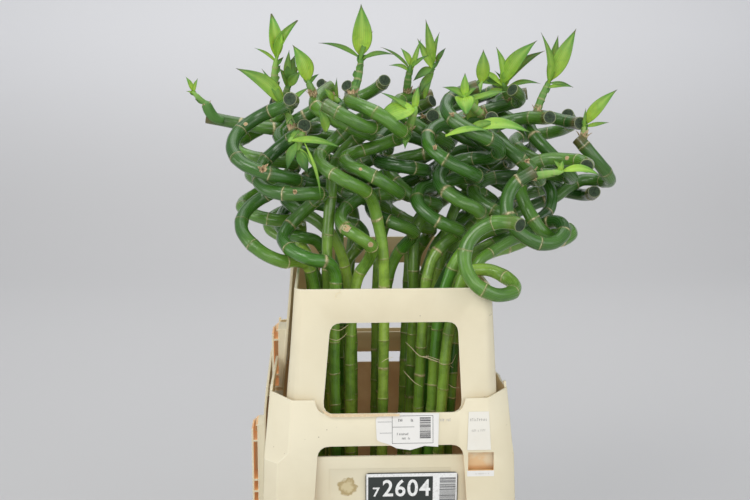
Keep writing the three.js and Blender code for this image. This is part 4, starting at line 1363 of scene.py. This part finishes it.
# Thickness, then the places a strand passes.
FIBRE_LINES = [
    (0.42, [(20, -108, 400), (25, -112, 396), (34, -114, 387), (43, -114, 384), (56, -114, 379),
            (68, -113, 377), (74, -110, 387)]),
    (0.28, [(18, -108, 369), (22, -112, 365), (30, -114, 357), (38, -112, 352)]),
    (0.3, [(58, -108, 360), (63, -112, 357), (71, -113, 351), (78, -110, 350)]),
    (0.32, [(-62, -108, 417), (-58, -112, 416), (-49, -113, 415), (-40, -110, 420)]),
    (0.32, [(-62, -108, 406), (-58, -112, 405), (-52, -113, 404), (-46, -112, 407), (-41, -110, 412)]),
    (0.3, [(-6, -112, 379), (0, -113, 383), (7, -112, 385)]),
    (0.3, [(34, -115, 386), (45, -115, 385.5), (57, -115, 381), (66, -114, 376), (71, -112, 372)]),
    (0.2, [(-50.1, -159.8, 469.6), (-50, -161.4, 468), (-49.4, -162.2, 465.9), (-51.7, -162.3, 465.2),
           (-54.1, -162.4, 463.4), (-53.7, -162.6, 460.3), (-49.7, -162.6, 460)]),
]
FIBRE_STEPS = 24
FIBRE_SIDES = 6


def fibre_strands(finish):
    """Strands curved through their places, thinner towards their ends."""
    lines = []
    for girth, strand in FIBRE_LINES:
        line = []
        places = [Vector(place) for place in (strand[0], *strand, strand[-1])]
        for k in range(FIBRE_STEPS + 1):
            t = k / FIBRE_STEPS * (len(strand) - 1)
            i = min(int(t), len(strand) - 2)
            before, a, b, after = places[i:i + 4]
            place = curve_point(a, b, (b - before) / 2, (after - a) / 2, t - i)
            taper = 1 - 0.75 * abs(2 * k / FIBRE_STEPS - 1) ** 3
            line.append(section(place, girth * taper, t * 10, UP))
        lines.append(line)
    made = skin("loose_fibres", lines, finish, FIBRE_SIDES, 3)
    return settle_piece(made, "shoot")


# Studio

# The sweep in metres: half its width, where its bend begins, the bend's radius, the wall's top.
SWEEP_SIDE = 9.0
SWEEP_BACK = 2.2
SWEEP_BEND = 1.6
SWEEP_TOP = 7.0
BEND_STEPS = 12
WORLD_COLOUR = (0.86, 0.89, 0.94)
WORLD_LIGHT = 0.48
# Each lamp: place and aim in metres, width and height, power, colour.
LAMPS = {
    "key": ((-1.3, -1.9, 2.2), (0, 0, 0.45), (1.4, 1.0), 26.5, (1.0, 0.98, 0.95)),
    "fill": ((2.0, -1.6, 1.3), (0, 0, 0.4), (1.6, 1.4), 14, (0.97, 0.98, 1.0)),
    "top": ((0.2, 0.4, 2.7), (0, 0, 0.4), (2.2, 2.2), 24.5, (1, 1, 1)),
    "low": ((0.3, -2.2, 0.75), (0, 0, 0.3), (1.6, 0.7), 10.5, (1.0, 0.97, 0.92)),
    "side": ((-2.3, -0.9, 0.75), (0, 0, 0.3), (1.2, 1.0), 9, (1.0, 0.98, 0.95)),
    "wall": ((0.0, 1.3, 2.9), (0, 3.8, 1.3), (3.6, 1.0), 52, (1.0, 0.98, 0.97)),
}
# The camera: place in metres, degrees below the level, degrees to the right, lens and film width.
EYE = (-0.070, -1.3367, 0.7184)
EYE_DOWN = 10.11
EYE_RIGHT = 2.7
LENS = 57.6
FILM = 36.0


def studio():
    """Pale sweep of floor and wall, broad soft lamps and the photograph's camera."""
    profile = [(-SWEEP_SIDE, 0.0), (SWEEP_BACK, 0.0)]
    for k in range(1, BEND_STEPS + 1):
        angle = math.pi / 2 * k / BEND_STEPS
        profile.append((SWEEP_BACK + SWEEP_BEND * math.sin(angle), SWEEP_BEND * (1 - math.cos(angle))))
    profile.append((SWEEP_BACK + SWEEP_BEND, SWEEP_TOP))
    points = [(x, y, z) for x in (-SWEEP_SIDE, SWEEP_SIDE) for y, z in profile]
    count = len(profile)
    faces = [(i, i + count, i + count + 1, i + 1) for i in range(count - 1)]
    mix = Finish("studio_sweep", 0.9)
    floor = mix.paint(mix.noise(mix.here, 0.6, 2), (0.51, 0.51, 0.512), (0.53, 0.53, 0.532))
    wall = mix.paint(mix.noise(mix.here, 0.5, 2), (0.655, 0.66, 0.675), (0.675, 0.68, 0.695))
    material = mix.feed(Base_Color=mix.paint(mix.ramp(mix.split(mix.here)[2], 0.05, 0.8), floor, wall))
    sweep = piece("studio_sweep", points, faces, material)

    world = bpy.context.scene.world or bpy.data.worlds.new("studio")
    bpy.context.scene.world = world
    world.use_nodes = True
    background = world.node_tree.nodes["Background"].inputs
    background[0].default_value = opaque(WORLD_COLOUR)
    background[1].default_value = WORLD_LIGHT

    for name, (place, aim, size, power, colour) in LAMPS.items():
        light = bpy.data.lights.new(name, "AREA")
        light.shape = "RECTANGLE"
        light.size, light.size_y = size
        light.energy = power
        light.color = colour
        lamp = linked(name, light)
        lamp.location = place
        lamp.rotation_euler = (Vector(aim) - Vector(place)).to_track_quat("-Z", "Y").to_euler()

    camera = bpy.data.cameras.new("camera")
    camera.lens = LENS
    camera.sensor_width = FILM
    eye = linked("camera", camera)
    eye.location = EYE
    eye.rotation_euler = (math.radians(90 - EYE_DOWN), 0, math.radians(-EYE_RIGHT))
    bpy.context.scene.camera = eye
    bpy.context.scene.view_settings.view_transform = "Standard"


# Assembly


def main():
    studio()
    finishes = {
        "culm": culm_finish(),
        "leaf": leaf_finish(),
        "stalk": stalk_finish(),
        "plastic": plastic_finish(),
        "water": water_finish(),
        "number_plate": plate_finish(),
        "torn_label": paper_finish("torn_label_paper", (0.79, 0.78, 0.75), (0.68, 0.65, 0.58)),
        "faded_label": paper_finish("faded_label_paper", (0.8, 0.78, 0.71), (0.72, 0.68, 0.58)),
        "white": mark_finish("white_print", (0.84, 0.85, 0.84), (0.6, 0.6, 0.58)),
        "black": mark_finish("black_print", (0.05, 0.05, 0.055), (0.16, 0.16, 0.16)),
        "lining": slot_shade_finish(),
        "sill": mark_finish("sill_shade", (0.72, 0.55, 0.34), (0.82, 0.7, 0.5)),
        "straw": mark_finish("straw_fibre", (0.78, 0.67, 0.42), (0.9, 0.82, 0.6)),
        "faint": mark_finish("faint_print", (0.5, 0.48, 0.44), (0.66, 0.62, 0.54)),
        "husk": husk_finish(),
        "scar": scar_finish(),
    }
    culms = [Culm(name) for name in sorted(NODES) if name.startswith("culm_")]
    for number, culm in enumerate(culms, 1):
        line = culm_line(culm, number)
        made = skin(f"{culm.name}_skin", [line], finishes["culm"], CULM_SIDES, number)
        settle_piece(made, "culm", culm.name)
    feet = [shoot_pieces(culms, number, shoot, finishes) for number, shoot in enumerate(SHOOTS, 1)]
    husks(feet + tuft_feet(culms), finishes["husk"])
    loose_leaves(finishes["leaf"])
    bud_scars(culms, finishes["scar"])
    fibre_strands(finishes["straw"])
    for source in SHELLS:
        settle_piece(moulded(f"{source}_shell", source, finishes["plastic"]), "plastic", source)
    for name in ("number_plate", "torn_label", "faded_label", "water"):
        NODES[name].data.materials.clear()
        NODES[name].data.materials.append(finishes[name])
    plate_marks(finishes)
    label_marks(finishes)
    bpy.context.view_layer.update()


main()
